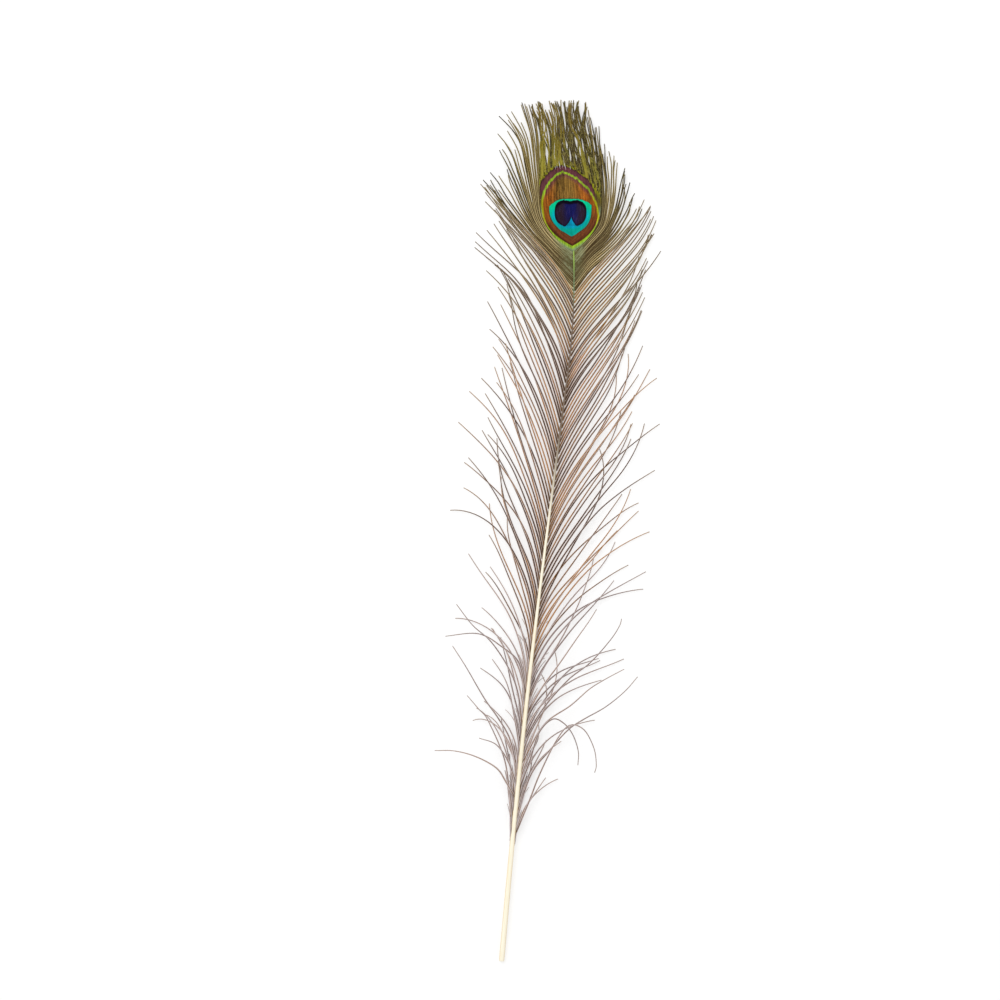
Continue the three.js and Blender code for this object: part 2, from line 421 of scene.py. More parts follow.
@dataclass(frozen=True)
class LooseBarbFinish:
    """Loose filaments: a brown ramus between pale barbules, olive towards the eye."""

    name: str
    ramus_pale: Colour = paint(176, 120, 46)
    ramus_dark: Colour = paint(60, 36, 14)
    fringe: Colour = paint(226, 214, 210)
    fringe_dark: Colour = paint(184, 160, 146)
    olive: Colour = paint(82, 62, 20)
    olive_fringe: Colour = paint(206, 194, 166)
    tip: Colour = paint(176, 150, 120)
    foot: Colour = paint(84, 60, 34)
    green_from: float = 204.0
    green_to: float = 238.0

    def dress(self, line: ShaftLine) -> bpy.types.Material:
        """Draws the material.

        Args:
            line: the shaft's line, whose origin the zones are measured from.

        Returns:
            The material.
        """
        sheet = NodeSheet(self.name)
        along, across = sheet.mark("along"), sheet.mark("across")
        tone, speck = sheet.mark("tone"), sheet.mark("speck")
        point = sheet.objects()
        height = sheet.node("ShaderNodeSeparateXYZ", {}, {0: point}, output="Y")
        from_quill = (height - line.origin.y) * (1 / MM)
        patches = sheet.grain(point, 420.0)
        ramus = sheet.blend((tone * 0.7 + patches * 0.6).ramp(0.25, 0.9), self.ramus_pale, self.ramus_dark)
        worn = (speck * 0.55 + tone * 0.55).ramp(0.4, 1.05)
        fringe = sheet.blend(worn, self.fringe, self.fringe_dark)
        green = from_quill.ramp(self.green_from, self.green_to)
        ramus = sheet.blend(green * along.ramp(0.2, 0.8) * 0.85, ramus, self.olive)
        fringe = sheet.blend(green * (1 - worn), fringe, self.olive_fringe)
        base = sheet.blend(across.ramp(0.02, 0.2), ramus, fringe)
        base = sheet.blend(along.ramp(0.8, 1.0) * (1 - green) * 0.5, base, self.tip)
        base = sheet.blend(along.ramp(0.12, 0.0) * (1 - green) * 0.6, base, self.foot)
        return sheet.finish(base, Roughness=0.6, Specular_IOR_Level=0.15)


Measure = Signal | np.ndarray  # a measure at every place: drawn with nodes, or worked out here


def above(value: Measure, floor: float) -> Measure:
    """The larger of a measure and a number, at every place."""
    return value.above(floor) if isinstance(value, Signal) else np.maximum(value, floor)


def below(value: Measure, ceiling: float) -> Measure:
    """The smaller of a measure and a number, at every place."""
    return value.below(ceiling) if isinstance(value, Signal) else np.minimum(value, ceiling)


@dataclass(frozen=True)
class EyePattern:
    """The outline of the eye's bronze field, in millimetres about the heart, upright to the eye.

    It is an arch over a bowl, each with its own height and power, so that the field can be round
    above and pointed below. The material draws it with nodes, and the barbs are cut by it.
    """

    half: float = 9.0
    up: float = 13.2  # the arch over the middle: its height and powers
    arch_x: float = 1.4
    arch_y: float = 2.15
    down: float = 11.5  # the bowl under it
    bowl_x: float = 1.0
    bowl_y: float = 2.4
    middle: float = 1.0
    slope: float = -0.168  # how the field's centre moves right for each millimetre up
    low_slope: float = -0.045  # the same under the heart's middle
    flattest: float = 0.0004  # keeps the outline's growth above zero at the very middle

    def level(self, x: Measure, y: Measure, upper: Measure) -> Measure:
        """The distance outside the bronze field.

        Args:
            x: places right of the eye's middle, upright to the eye.
            y: places above it.
            upper: 1 above the field's middle, where the arch holds, and 0 below it.

        Returns:
            Millimetres, below 0 inside the field.
        """
        centre = above(y, 0.0) * self.slope + below(y, 0.0) * self.low_slope
        wide = abs(x - centre) / self.half
        over = above(y - self.middle, 0.0) / self.up
        under = above(self.middle - y, 0.0) / self.down
        arch = self._outside(wide, over, self.arch_x, self.arch_y, self.up)
        bowl = self._outside(wide, under, self.bowl_x, self.bowl_y, self.down)
        return arch * upper + bowl * (1 - upper)

    def _outside(
        self, wide: Measure, rise: Measure, wide_power: float, rise_power: float, tall: float
    ) -> Measure:
        """The distance outside one rounded outline.

        Args:
            wide: the share of the half width.
            rise: the share of the height.
            wide_power: the power of the width's share.
            rise_power: the power of the height's share.
            tall: the height.

        Returns:
            Millimetres, from the outline's value over how fast that grows outwards.
        """
        aside = wide ** (wide_power - 1) * (wide_power / self.half)
        upward = rise ** (rise_power - 1) * (rise_power / tall)
        growth = (aside * aside + upward * upward + self.flattest) ** 0.5
        return (wide**wide_power + rise**rise_power - 1) / growth


@dataclass(frozen=True)
class EyeFinish:
    """The iridescent eye: indigo heart, turquoise, bronze, a lime line and a mauve band."""

    indigo: Colour = paint(22, 24, 88)
    plum: Colour = paint(44, 30, 44)
    violet: Colour = paint(70, 60, 112)
    black: Colour = paint(10, 2, 20)
    azure: Colour = paint(0, 200, 255)
    teal: Colour = paint(0, 166, 150)
    jade: Colour = paint(0, 202, 150)
    cyan: Colour = paint(0, 178, 200)
    sea_blue: Colour = paint(0, 150, 190)
    olive_bronze: Colour = paint(130, 98, 44)
    rust: Colour = paint(146, 84, 26)
    red_bronze: Colour = paint(112, 62, 33)
    umber: Colour = paint(62, 28, 18)
    lime: Colour = paint(150, 186, 44)
    amber: Colour = paint(176, 166, 18)
    mauve: Colour = paint(108, 60, 66)
    deep_mauve: Colour = paint(66, 36, 38)
    olive_gold: Colour = paint(140, 140, 24)
    sage: Colour = paint(122, 138, 106)
    pattern: EyePattern = field(default_factory=EyePattern)

    def dress(self, line: ShaftLine) -> bpy.types.Material:
        """Draws the material.

        Args:
            line: the shaft's line, which places the eye.

        Returns:
            The material.
        """
        sheet = NodeSheet("feather_eye_barbs")
        x, y = self._upright(sheet, line)
        tone, speck = sheet.mark("tone"), sheet.mark("speck")
        shimmer = sheet.grain(sheet.objects(), 2600.0)
        jagged = y + ((tone - 0.5) * 0.7 + (shimmer - 0.5) * 0.6) * y.ramp(-3.0, 4.0)
        y = y + (tone - 0.5) * 0.25 + (shimmer - 0.5) * 0.25
        middle = self.pattern.middle
        level = self.pattern.level(x, jagged, jagged.ramp(middle - 0.01, middle + 0.01))
        base = self._outside(sheet, y, level)
        rim = sheet.blend(y.band(-3.0, 6.0, 2.0) * 0.8, self.lime, self.amber)
        bowl = y.ramp(0.0, -5.0)
        edge = level.ramp(1.0, 0.7) * (1 - bowl) + level.ramp(1.7, 0.5) * bowl
        base = sheet.blend(edge, base, rim)
        base = sheet.blend(level.ramp(0.36, 0.1), base, self._bronze(sheet, x, y, level))
        shield, turquoise = self._turquoise(sheet, x, y)
        base = sheet.blend(shield.ramp(-0.32, -0.02), base, self.umber)
        base = sheet.blend(shield.ramp(-0.06, 0.16), base, turquoise)
        heart, heart_colour = self._heart(sheet, x, y, tone)
        base = sheet.blend(heart.ramp(-0.1, 0.12), base, heart_colour)
        strokes = self._strokes(sheet, x, y, 2.3, 0.24)
        vivid = y.ramp(2.0, 7.0) * level.ramp(0.2, -0.6) + 1.0
        wear = (tone - 0.5) * 0.4 + (strokes - 0.5) * 1.5 + (shimmer - 0.5) * 0.5 + (speck - 0.5) * 0.6
        shade = (wear * vivid + 1.0).above(0.2)
        dark = sheet.node("ShaderNodeCombineXYZ", {}, {0: shade, 1: shade, 2: shade})
        base = sheet.blend(1 - shield.ramp(-0.3, 0.1) * 0.65, base, dark, "MULTIPLY")
        gloss = level.ramp(1.0, -0.5)
        return sheet.finish(
            base, Roughness=0.55 - gloss * 0.1, Metallic=gloss * 0.35, Specular_IOR_Level=0.08
        )

    def _upright(self, sheet: NodeSheet, line: ShaftLine) -> tuple[Signal, Signal]:
        """Places about the heart, turned upright to the eye.

        Args:
            sheet: the sheet that is drawn on.
            line: the shaft's line, which places the eye.

        Returns:
            Millimetres right of the heart's middle, and above it.
        """
        scale = 1 / MM
        middle = line.origin + Vector((0.0, EYE_HEART_Y * MM, 0.0))
        turned = Matrix.Rotation(-EYE_TURN, 3, "Z") @ (middle * -scale)
        place = sheet.node(
            "ShaderNodeMapping", {"vector_type": "POINT"},
            {"Vector": sheet.objects(), "Location": turned, "Rotation": (0.0, 0.0, -EYE_TURN),
             "Scale": (scale, scale, scale)},
        )
        x = sheet.node("ShaderNodeSeparateXYZ", {}, {0: place}, output="X")
        y = sheet.node("ShaderNodeSeparateXYZ", {}, {0: place}, output="Y")
        return x, y

    def _outside(self, sheet: NodeSheet, y: Signal, level: Signal) -> Signal:
        """The mauve band over the eye, olive beyond it and sage under the eye.

        Args:
            sheet: the sheet that is drawn on.
            y: places above the heart's middle.
            level: the distance outside the bronze field.

        Returns:
            The colour.
        """
        upper = y.ramp(1.0, 5.0)
        base = sheet.blend(upper, self.sage, self.olive_gold)
        base = sheet.blend(y.band(2.0, 7.0, 2.0) * 0.7, base, self.deep_mauve)
        far = level - y.ramp(4.0, 12.0) * 1.3
        mauve = sheet.blend(far.ramp(0.7, 1.3), self.mauve, self.deep_mauve)
        return sheet.blend(far.ramp(1.6, 1.2) * y.ramp(3.0, 8.0), base, mauve)

    def _bronze(self, sheet: NodeSheet, x: Signal, y: Signal, level: Signal) -> Signal:
        """The bronze field: olive in the middle above, rust at the flanks, dark red below.

        Args:
            sheet: the sheet that is drawn on.
            x: places right of the heart's middle.
            y: places above it.
            level: the distance outside the bronze field.

        Returns:
            The colour.
        """
        flank = abs(x + 0.8 + y * 0.12).ramp(1.5, 6.5)
        base = sheet.blend(flank, self.olive_bronze, self.rust)
        base = sheet.blend((y - x.above(0.0) * 0.4).ramp(1.0, -6.5), base, self.red_bronze)
        top = level.ramp(-1.6, -0.1) * y.ramp(5.0, 9.0)
        base = sheet.blend(top * 0.75, base, self.mauve)
        low = level.ramp(-0.9, 0.0) * y.ramp(0.0, -4.0)
        return sheet.blend(low * 0.65, base, self.umber)

    def _turquoise(self, sheet: NodeSheet, x: Signal, y: Signal) -> tuple[Signal, Signal]:
        """The turquoise shield about the heart.

        Args:
            sheet: the sheet that is drawn on.
            x: places right of the heart's middle.
            y: places above it.

        Returns:
            Millimetres inside the shield, and its colour.
        """
        reach, down, shoulder, top = 7.35, 10.7, 3.3, 5.65
        under = ((shoulder - y).above(0.0) / down) ** 3.0
        side = (1 - (abs(x + 0.2 + y.below(0.0) * 0.06) / reach + under)) * 6.0
        lid = (abs(x) / 7.2) ** 3.0 * -2.35 + top - y
        inside = side.below(lid)
        colour = sheet.blend(y.ramp(3.5, -3.5), self.jade, self.teal)
        near = self._heart_distance(x, y)
        colour = sheet.blend(near.ramp(-1.4, -0.2) * y.band(-2.0, 1.5, 1.5) * 0.8, colour, self.cyan)
        colour = sheet.blend(near.ramp(-0.9, 0.0) * y.ramp(-2.0, -3.6) * 0.7, colour, self.sea_blue)
        wedge = abs(x - 0.12).ramp(1.7, 0.5) * y.ramp(-4.9, -1.9) * y.ramp(2.0, 0.5)
        return inside, sheet.blend(wedge, colour, self.azure)

    def _heart_distance(self, x: Signal, y: Signal) -> Signal:
        """The dark heart's outline: an oval, cut by a wedge from below.

        Args:
            x: places right of the heart's middle.
            y: places above it.

        Returns:
            Millimetres inside the heart.
        """
        waist, wide, up, down = 0.7, 5.55, 4.7, 4.9
        across = abs(x + 0.15) / wide
        over, under = (y - waist).above(0.0) / up, (waist - y).above(0.0) / down
        oval = (1 - (across**2.4 + over**3.2 + under**2.3) ** 0.42) * 5.0
        depth = (-0.75 - y).above(0.0)
        wedge = abs(x - 0.12) - (depth * 0.15 + depth * depth * 0.14)
        dip = y * -1 + 5.3 - 0.4 / ((x + 0.4) * (x + 0.4) * 1.2 + 1)
        cut = wedge.above(y.ramp(-0.85, -0.55) * 5.0)
        return oval.softly_below(cut, 0.9).below(dip)

    def _heart(self, sheet: NodeSheet, x: Signal, y: Signal, tone: Signal) -> tuple[Signal, Signal]:
        """The dark heart: indigo in the middle, plum at the sides and in its lobes.

        Args:
            sheet: the sheet that is drawn on.
            x: places right of the heart's middle.
            y: places above it.
            tone: the barb's own number, 0 to 1.

        Returns:
            Millimetres inside the heart, and its colour.
        """
        inside = self._heart_distance(x, y)
        column = abs(x + 0.1).ramp(4.2, 0.0) + (tone - 0.5) * 0.25
        colour = sheet.blend(column.ramp(0.0, 1.0), self.plum, self.indigo)
        lobes = y.ramp(0.5, -3.0) * 0.5
        colour = sheet.blend(lobes, colour, self.plum)
        strokes = self._strokes(sheet, x, y, 1.6, 0.3)
        colour = sheet.blend(strokes.ramp(0.52, 0.75) * 0.55, colour, self.violet)
        lid = inside - y.ramp(1.5, 4.5) * 0.9
        return inside, sheet.blend(lid.ramp(0.85, 0.05), colour, self.black)

    @staticmethod
    def _strokes(sheet: NodeSheet, x: Signal, y: Signal, across: float, along: float) -> Signal:
        """Long thin streaks that run up the eye.

        Args:
            sheet: the sheet that is drawn on.
            x: places right of the heart's middle.
            y: places above it.
            across: how many streaks there are to a millimetre.
            along: how often a streak changes in a millimetre.

        Returns:
            A number round 0.5.
        """
        stretched = sheet.node("ShaderNodeCombineXYZ", {}, {0: x * across, 1: y * along, 2: 0.0})
        return sheet.grain(stretched, 1.0)


@dataclass(frozen=True)
class CrestFinish:
    """The barbs above and beside the eye: olive tips, pale tan beside the eye, sage below it."""

    sage: Colour = paint(156, 162, 122)
    deep_sage: Colour = paint(100, 92, 56)
    tan: Colour = paint(196, 176, 124)
    tan_core: Colour = paint(62, 42, 8)
    gold: Colour = paint(166, 158, 52)
    olive: Colour = paint(132, 114, 30)
    deep_olive: Colour = paint(36, 28, 2)
    pale_olive: Colour = paint(202, 190, 122)
    brown: Colour = paint(112, 82, 26)

    def dress(self, line: ShaftLine) -> bpy.types.Material:
        """Draws the material.

        Args:
            line: the shaft's line, which places the eye.

        Returns:
            The material.
        """
        sheet = NodeSheet("feather_crest_barbs")
        across, along = sheet.mark("across"), sheet.mark("along")
        tone, flank, speck = sheet.mark("tone"), sheet.mark("flank"), sheet.mark("speck")
        point = sheet.objects()
        height = sheet.node("ShaderNodeSeparateXYZ", {}, {0: point}, output="Y")
        over_eye = (height - line.origin.y) * (1 / MM) - EYE_HEART_Y
        strand = sheet.node("ShaderNodeCombineXYZ", {}, {0: tone * 30, 1: along * 26, 2: speck * 0.9})
        patches = sheet.grain(strand, 1.0)
        mixed = (tone * 0.8 + patches * 1.1 + speck * 0.3).ramp(0.75, 1.25)
        olive = sheet.blend(mixed, self.olive, self.deep_olive)
        olive = sheet.blend(over_eye.ramp(22.0, 36.0) * (1 - tone) * 0.6, olive, self.brown)
        olive = sheet.blend((speck * 0.7 + patches * 0.5).ramp(0.6, 0.9) * 0.85, olive, self.pale_olive)
        near = over_eye.ramp(32.0, 13.0) * (1 - flank)
        olive = sheet.blend(near * (patches - tone * 0.35).ramp(0.22, 0.44) * 0.7, olive, self.gold)
        worn = (tone * 0.8 + speck * 0.3).ramp(0.5, 0.8) * 0.75
        core = across.ramp(0.4, 0.02).above(worn)
        tan = sheet.blend(core * 0.95, self.tan, self.tan_core)
        sage = sheet.blend((patches + speck * 0.4 + tone * 0.3).ramp(0.6, 1.0), self.sage, self.deep_sage)
        tan = sheet.blend(along.ramp(0.2, 0.04) * over_eye.ramp(-25.0, -15.0) * 0.9, tan, sage)
        climb = over_eye.ramp(-8.0, 24.0) * 0.8 + (tone - 0.5) * over_eye.ramp(-12.0, 4.0) * 0.9
        pale_strand = tone.ramp(0.78, 0.84) * over_eye.ramp(14.0, 20.0) * 0.45
        base = sheet.blend((1 - flank).above(climb.above(0.0)) - pale_strand, tan, olive)
        return sheet.finish(base, Roughness=0.6, Specular_IOR_Level=0.15)


# ---------------------------------------------------------------- barbs
@dataclass(frozen=True)
class BarbForm:
    """How one kind of barb is made, in millimetres and degrees.

    Attributes:
        root_width: the ramus's width where it leaves the shaft.
        tip_width: its width at the tip.
        barbule: the length of a full barbule.
        pitch: the distance between barbules on one side.
        blade: a barbule's width at its foot.
        angle: a barbule's angle to the ramus.
        tilt: how far barbules stand up out of the barb's plane at random.
        segments: the number of stretches that the ramus is made of.
        web: the root width of the closed web under the ramus, where barbules interlock.
    """

    root_width: float
    tip_width: float
    barbule: float
    pitch: float
    blade: float
    angle: float = 40.0
    tilt: float = 16.0
    segments: int = 24
    web: float = 0.0


@dataclass(frozen=True)
class Course:
    """A barb's course, with one row for each point of its route, from root to tip.

    Attributes:
        points: the route, in feather millimetres.
        reach: the distance gone.
        ahead: the direction of the barb.
        aside: the direction to its right, level with the surface.
        over: the direction out of its upper side.
        along: the share of the whole barb that is gone.
        width: the width of its ramus.
    """

    points: np.ndarray
    reach: np.ndarray
    ahead: np.ndarray
    aside: np.ndarray
    over: np.ndarray
    along: np.ndarray
    width: np.ndarray

    @classmethod
    def of(cls, route: np.ndarray, form: BarbForm, start: float, end: float) -> "Course":
        """Measures a route.

        Args:
            route: the ramus's points from root to tip.
            form: how the barb is made.
            start: the share of the whole barb at which this route starts.
            end: the share of the whole barb at which it ends.

        Returns:
            The course.
        """
        lengths = np.linalg.norm(np.diff(route, axis=0), axis=1)
        reach = np.concatenate([[0.0], np.cumsum(lengths)])
        ahead = np.gradient(route, axis=0)
        ahead /= np.linalg.norm(ahead, axis=1)[:, None]
        aside = np.cross(ahead, UP)
        aside /= np.linalg.norm(aside, axis=1)[:, None]
        along = start + (end - start) * reach / reach[-1]
        width = form.root_width + (form.tip_width - form.root_width) * along
        return cls(route, reach, ahead, aside, np.cross(aside, ahead), along, width)

    def between(self, places: np.ndarray, values: np.ndarray) -> np.ndarray:
        """Carries one of the course's measures over to places between its points.

        Args:
            places: distances gone.
            values: the measure at each point: numbers, or rows of three.

        Returns:
            The measure at each place.
        """
        if values.ndim == 1:
            return np.interp(places, self.reach, values)
        return np.stack([np.interp(places, self.reach, column) for column in values.T], -1)


class Plumage:
    """Barbs that are gathered into one joined mesh."""

    RING = 4  # sides of a ramus
    RAMUS_SHARE = 0.4  # the ramus's part of a barb's row on the bake map
    ROWS = 36  # barbs in one column of the bake map
    MAP_WIDTH = 1.5  # a barbule's width on the bake map, in gaps between barbules
    WEB_TAPER = 0.68  # the part of the web's width that is gone at the tip
    FIRST_LENGTH = 0.35  # a barbule's length at its barb's root, as a share of full
    GROWTH = 9.0  # how fast that share grows to 1 along the barb
    TIP_LOSS = 0.55  # the share of the length that is gone at the barb's tip
    SEAT = 0.6  # where a barbule's foot stands, as a share of the ramus's half width
    STRAY = 9.0  # the most that a barbule's angle strays, in degrees
    NEAR_RAMUS = 0.12  # a barbule's foot on the way from the ramus, 0, to its tip, 1

    def __init__(self, name: str, line: ShaftLine, chance: np.random.RandomState) -> None:
        """Starts an empty gathering.

        Args:
            name: the name of the piece that it becomes.
            line: the shaft's line, which places it in the frame.
            chance: the source of random numbers.
        """
        self.name = name
        self.line = line
        self.chance = chance
        self.parts: list[dict[str, np.ndarray]] = []
        self.corner_count = 0
        self.barb_count = 0

    def _keep(
        self,
        corners: np.ndarray,
        faces: np.ndarray,
        extras: Mapping[str, float],
        marks: Mapping[str, np.ndarray],
    ) -> None:
        """Stores one run of faces and the numbers that its corners carry.

        Args:
            corners: the corners' places.
            faces: three corners a face, counted from the run's first.
            extras: numbers that every corner carries.
            marks: numbers with a value for each corner.
        """
        part = {"corners": corners, "faces": faces + self.corner_count, **marks}
        for key, value in {**extras, "barb": self.barb_count}.items():
            part[key] = np.full(len(corners), value)
        self.parts.append(part)
        self.corner_count += len(corners)

    def add(
        self,
        route: np.ndarray,
        form: BarbForm,
        extras: Mapping[str, float],
        start: float = 0.0,
        end: float = 1.0,
    ) -> None:
        """Adds one barb along a route.

        Args:
            route: the ramus's points from root to tip, in feather millimetres.
            form: how the barb is made.
            extras: numbers that every corner of the barb carries.
            start: the share of the whole barb at which this route starts.
            end: the share of the whole barb at which it ends.
        """
        course = Course.of(route, form, start, end)
        if form.web:
            self._add_web(course, form, extras)
        self._add_ramus(course, extras)
        count = max(2, int(course.reach[-1] / form.pitch))
        for hand in (-1, 1):
            self._add_barbules(course, form, extras, hand, count)
        self.barb_count += 1

    def _add_web(self, course: Course, form: BarbForm, extras: Mapping[str, float]) -> None:
        """Adds the interlocked feet of the barbules: a flat strip under the ramus.

        Args:
            course: the barb's course.
            form: how the barb is made.
            extras: numbers that every corner of the barb carries.
        """
        floor = course.points - course.over * form.tip_width / 2
        half = form.web / 2 * (1 - self.WEB_TAPER * course.along)
        reach = course.aside * half[:, None]
        corners = np.stack([floor - reach, floor + reach], 1).reshape(-1, 3)
        first = np.arange(len(floor) - 1)[:, None] * 2
        faces = np.concatenate([first + np.array([[0, 1, 3]]), first + np.array([[0, 3, 2]])])
        plain = np.full(len(corners), 0.5)
        marks = {"along": np.repeat(course.along, 2), "across": plain, "speck": plain,
                 "lane": np.tile(np.array([0.0, 1.0]), len(floor))}
        self._keep(corners, faces, extras, marks)

    def _add_ramus(self, course: Course, extras: Mapping[str, float]) -> None:
        """Adds the barb's own stem: a four-sided tube, closed at both ends.

        Args:
            course: the barb's course.
            extras: numbers that every corner of the barb carries.
        """
        beside = course.aside * course.width[:, None] / 2
        above_it = course.over * course.width[:, None] / 2
        middle = course.points
        ring = np.stack([middle + beside, middle + above_it, middle - beside, middle - above_it], axis=1)
        corners = ring.reshape(-1, 3)
        count = len(middle)
        first = np.arange(count - 1)[:, None] * self.RING
        turn = np.arange(self.RING)[None, :]
        a, b = first + turn, first + (turn + 1) % self.RING
        c, d = b + self.RING, a + self.RING
        walls = [np.stack(face, -1).reshape(-1, 3) for face in ((a, d, c), (a, c, b))]
        last = (count - 1) * self.RING
        caps = np.array([[0, 1, 2], [0, 2, 3], [last, last + 2, last + 1], [last, last + 3, last + 2]])
        half = self.RAMUS_SHARE / 2
        plain = np.zeros(len(corners))
        marks = {"along": np.repeat(course.along, self.RING), "across": plain, "speck": plain + 0.5,
                 "lane": np.tile(np.array([0.5 + half, 0.5, 0.5 - half, 0.5]), count)}
        self._keep(corners, np.concatenate([*walls, caps]), extras, marks)

    def _add_barbules(
        self, course: Course, form: BarbForm, extras: Mapping[str, float], hand: int, count: int
    ) -> None:
        """Adds the barbules on one side of a barb: one thin blade each.

        Args:
            course: the barb's course.
            form: how the barb is made.
            extras: numbers that every corner of the barb carries.
            hand: -1 on the left of the barb and 1 on its right.
            count: the number of barbules.
        """
        place = (np.arange(count) + self.chance.uniform(0.1, 0.9, count)) / count * course.reach[-1]
        front = course.between(place, course.ahead)
        out = course.between(place, course.aside) * hand
        top = course.between(place, course.over)
        share = course.between(place, course.along)
        half = course.between(place, course.width) / 2
        size = form.barbule * self.chance.uniform(0.75, 1.1, count)
        grown = np.minimum(1.0, self.FIRST_LENGTH + share * self.GROWTH)
        size = size * grown * (1 - self.TIP_LOSS * share**5)
        angle = np.radians(form.angle + self.chance.uniform(-self.STRAY, self.STRAY, count))
        tilt = np.radians(self.chance.uniform(-form.tilt, form.tilt, count))
        sweep = np.cos(angle)[:, None] * front
        spread = np.sin(angle)[:, None] * (np.cos(tilt)[:, None] * out + np.sin(tilt)[:, None] * top)
        foot = course.between(place, course.points) + out * half[:, None] * self.SEAT
        near, far = foot - front * form.blade / 2, foot + front * form.blade / 2
        tip = foot + (sweep + spread) * size[:, None]
        corners = np.stack([near, far, tip], 1).reshape(-1, 3)
        face = [0, 1, 2] if hand < 0 else [0, 2, 1]
        faces = np.arange(count)[:, None] * 3 + np.array([face])
        wide = self.MAP_WIDTH * (course.along[-1] - course.along[0]) / count
        shares = np.stack([share - wide / 2, share + wide / 2, share], 1).reshape(-1)
        inner, outer = 0.5 + hand * self.RAMUS_SHARE / 2, 0.5 + hand * 0.5
        marks = {"along": np.clip(shares, 0, 1), "speck": np.repeat(self.chance.uniform(0, 1, count), 3),
                 "across": np.tile(np.array([self.NEAR_RAMUS, self.NEAR_RAMUS, 1.0]), count),
                 "lane": np.tile(np.array([inner, inner, outer]), count)}
        self._keep(corners, faces, extras, marks)

    def build(self, planar_map: bool = False) -> bpy.types.Object:
        """Joins the barbs into one object.

        Args:
            planar_map: lays the bake map out as seen from above, and not a row to a barb.

        Returns:
            The new object, with the numbers that its materials read.
        """
        whole = {key: np.concatenate([part[key] for part in self.parts]) for key in self.parts[0]}
        corners = self.line.place(whole["corners"])
        faces = whole["faces"].astype(np.int32)
        mesh = bpy.data.meshes.new(self.name)
        mesh.vertices.add(len(corners))
        mesh.vertices.foreach_set("co", corners.astype(np.float32).ravel())
        mesh.loops.add(faces.size)
        mesh.loops.foreach_set("vertex_index", faces.ravel())
        mesh.polygons.add(len(faces))
        mesh.polygons.foreach_set("loop_start", np.arange(0, faces.size, 3, dtype=np.int32))
        mesh.update(calc_edges=True)
        for key in sorted(set(whole) - {"corners", "faces", "lane", "barb"}):
            marks = mesh.attributes.new(key, "FLOAT", "POINT")
            marks.data.foreach_set("value", whole[key].astype(np.float32))
        places = self._seen_from_above(corners) if planar_map else self._row_by_row(whole)
        uv = mesh.uv_layers.new(name=BAKE_MAP)
        uv.data.foreach_set("uv", places[faces.ravel()].astype(np.float32).ravel())
        made = bpy.data.objects.new(self.name, mesh)
        bpy.context.scene.collection.objects.link(made)
        LOG.info("%s: %d barbs, %d triangles", self.name, self.barb_count, len(faces))
        return made

    @staticmethod
    def _seen_from_above(corners: np.ndarray) -> np.ndarray:
        """Each corner's place on a bake map that is laid out as seen from above."""
        low, high = corners.min(0), corners.max(0)
        return (corners[:, :2] - low[:2]) / (high[:2] - low[:2])

    def _row_by_row(self, whole: Mapping[str, np.ndarray]) -> np.ndarray:
        """Lays the bake map out with a row to a barb, in columns of equal height.

        Args:
            whole: the numbers that the corners carry.

        Returns:
            Each corner's place on the map, with a small gap between rows and columns.
        """
        columns = math.ceil(self.barb_count / self.ROWS)
        rows = math.ceil(self.barb_count / columns)
        column, row = whole["barb"] // rows, whole["barb"] % rows
        side_gap, row_gap = 0.01, 0.04
        across = (column + side_gap + whole["along"] * (1 - 2 * side_gap)) / columns
        upward = (row + row_gap + whole["lane"] * (1 - 2 * row_gap)) / rows
        return np.stack([across, upward], -1)


def curve_through(points: Sequence[Sequence[float]], count: int) -> np.ndarray:
    """A smooth route through points.

    Args:
        points: the points, in order.
        count: how many stretches the route is made of.

    Returns:
        count + 1 points of a Catmull-Rom curve.
    """
    knots = np.array(points, float)
    knots = np.vstack([2 * knots[0] - knots[1], knots, 2 * knots[-1] - knots[-2]])
    spans = len(knots) - 3
    places = np.linspace(0, spans, count + 1)
    index = np.minimum(places.astype(int), spans - 1)
    t = (places - index)[:, None]
    p0, p1, p2, p3 = (knots[index + k] for k in range(4))
    return 0.5 * (2 * p1 + (p2 - p0) * t + (2 * p0 - 5 * p1 + 4 * p2 - p3) * t**2
                  + (3 * p1 - p0 - 3 * p2 + p3) * t**3)


def swept_route(root: np.ndarray, length: float, angles: np.ndarray, heights: np.ndarray) -> np.ndarray:
    """A route that starts at a root and keeps to a given direction at each step.

    Args:
        root: the first point.
        length: the route's length over the surface.
        angles: the direction at each step, in radians right of +Y.
        heights: the height of each point over the surface, the root's included.

    Returns:
        The route's points.
    """
    stride = length / len(angles)
    x = root[0] + np.concatenate([[0.0], np.cumsum(np.sin(angles) * stride)])
    y = root[1] + np.concatenate([[0.0], np.cumsum(np.cos(angles) * stride)])
    return np.stack([x, y, heights], -1)


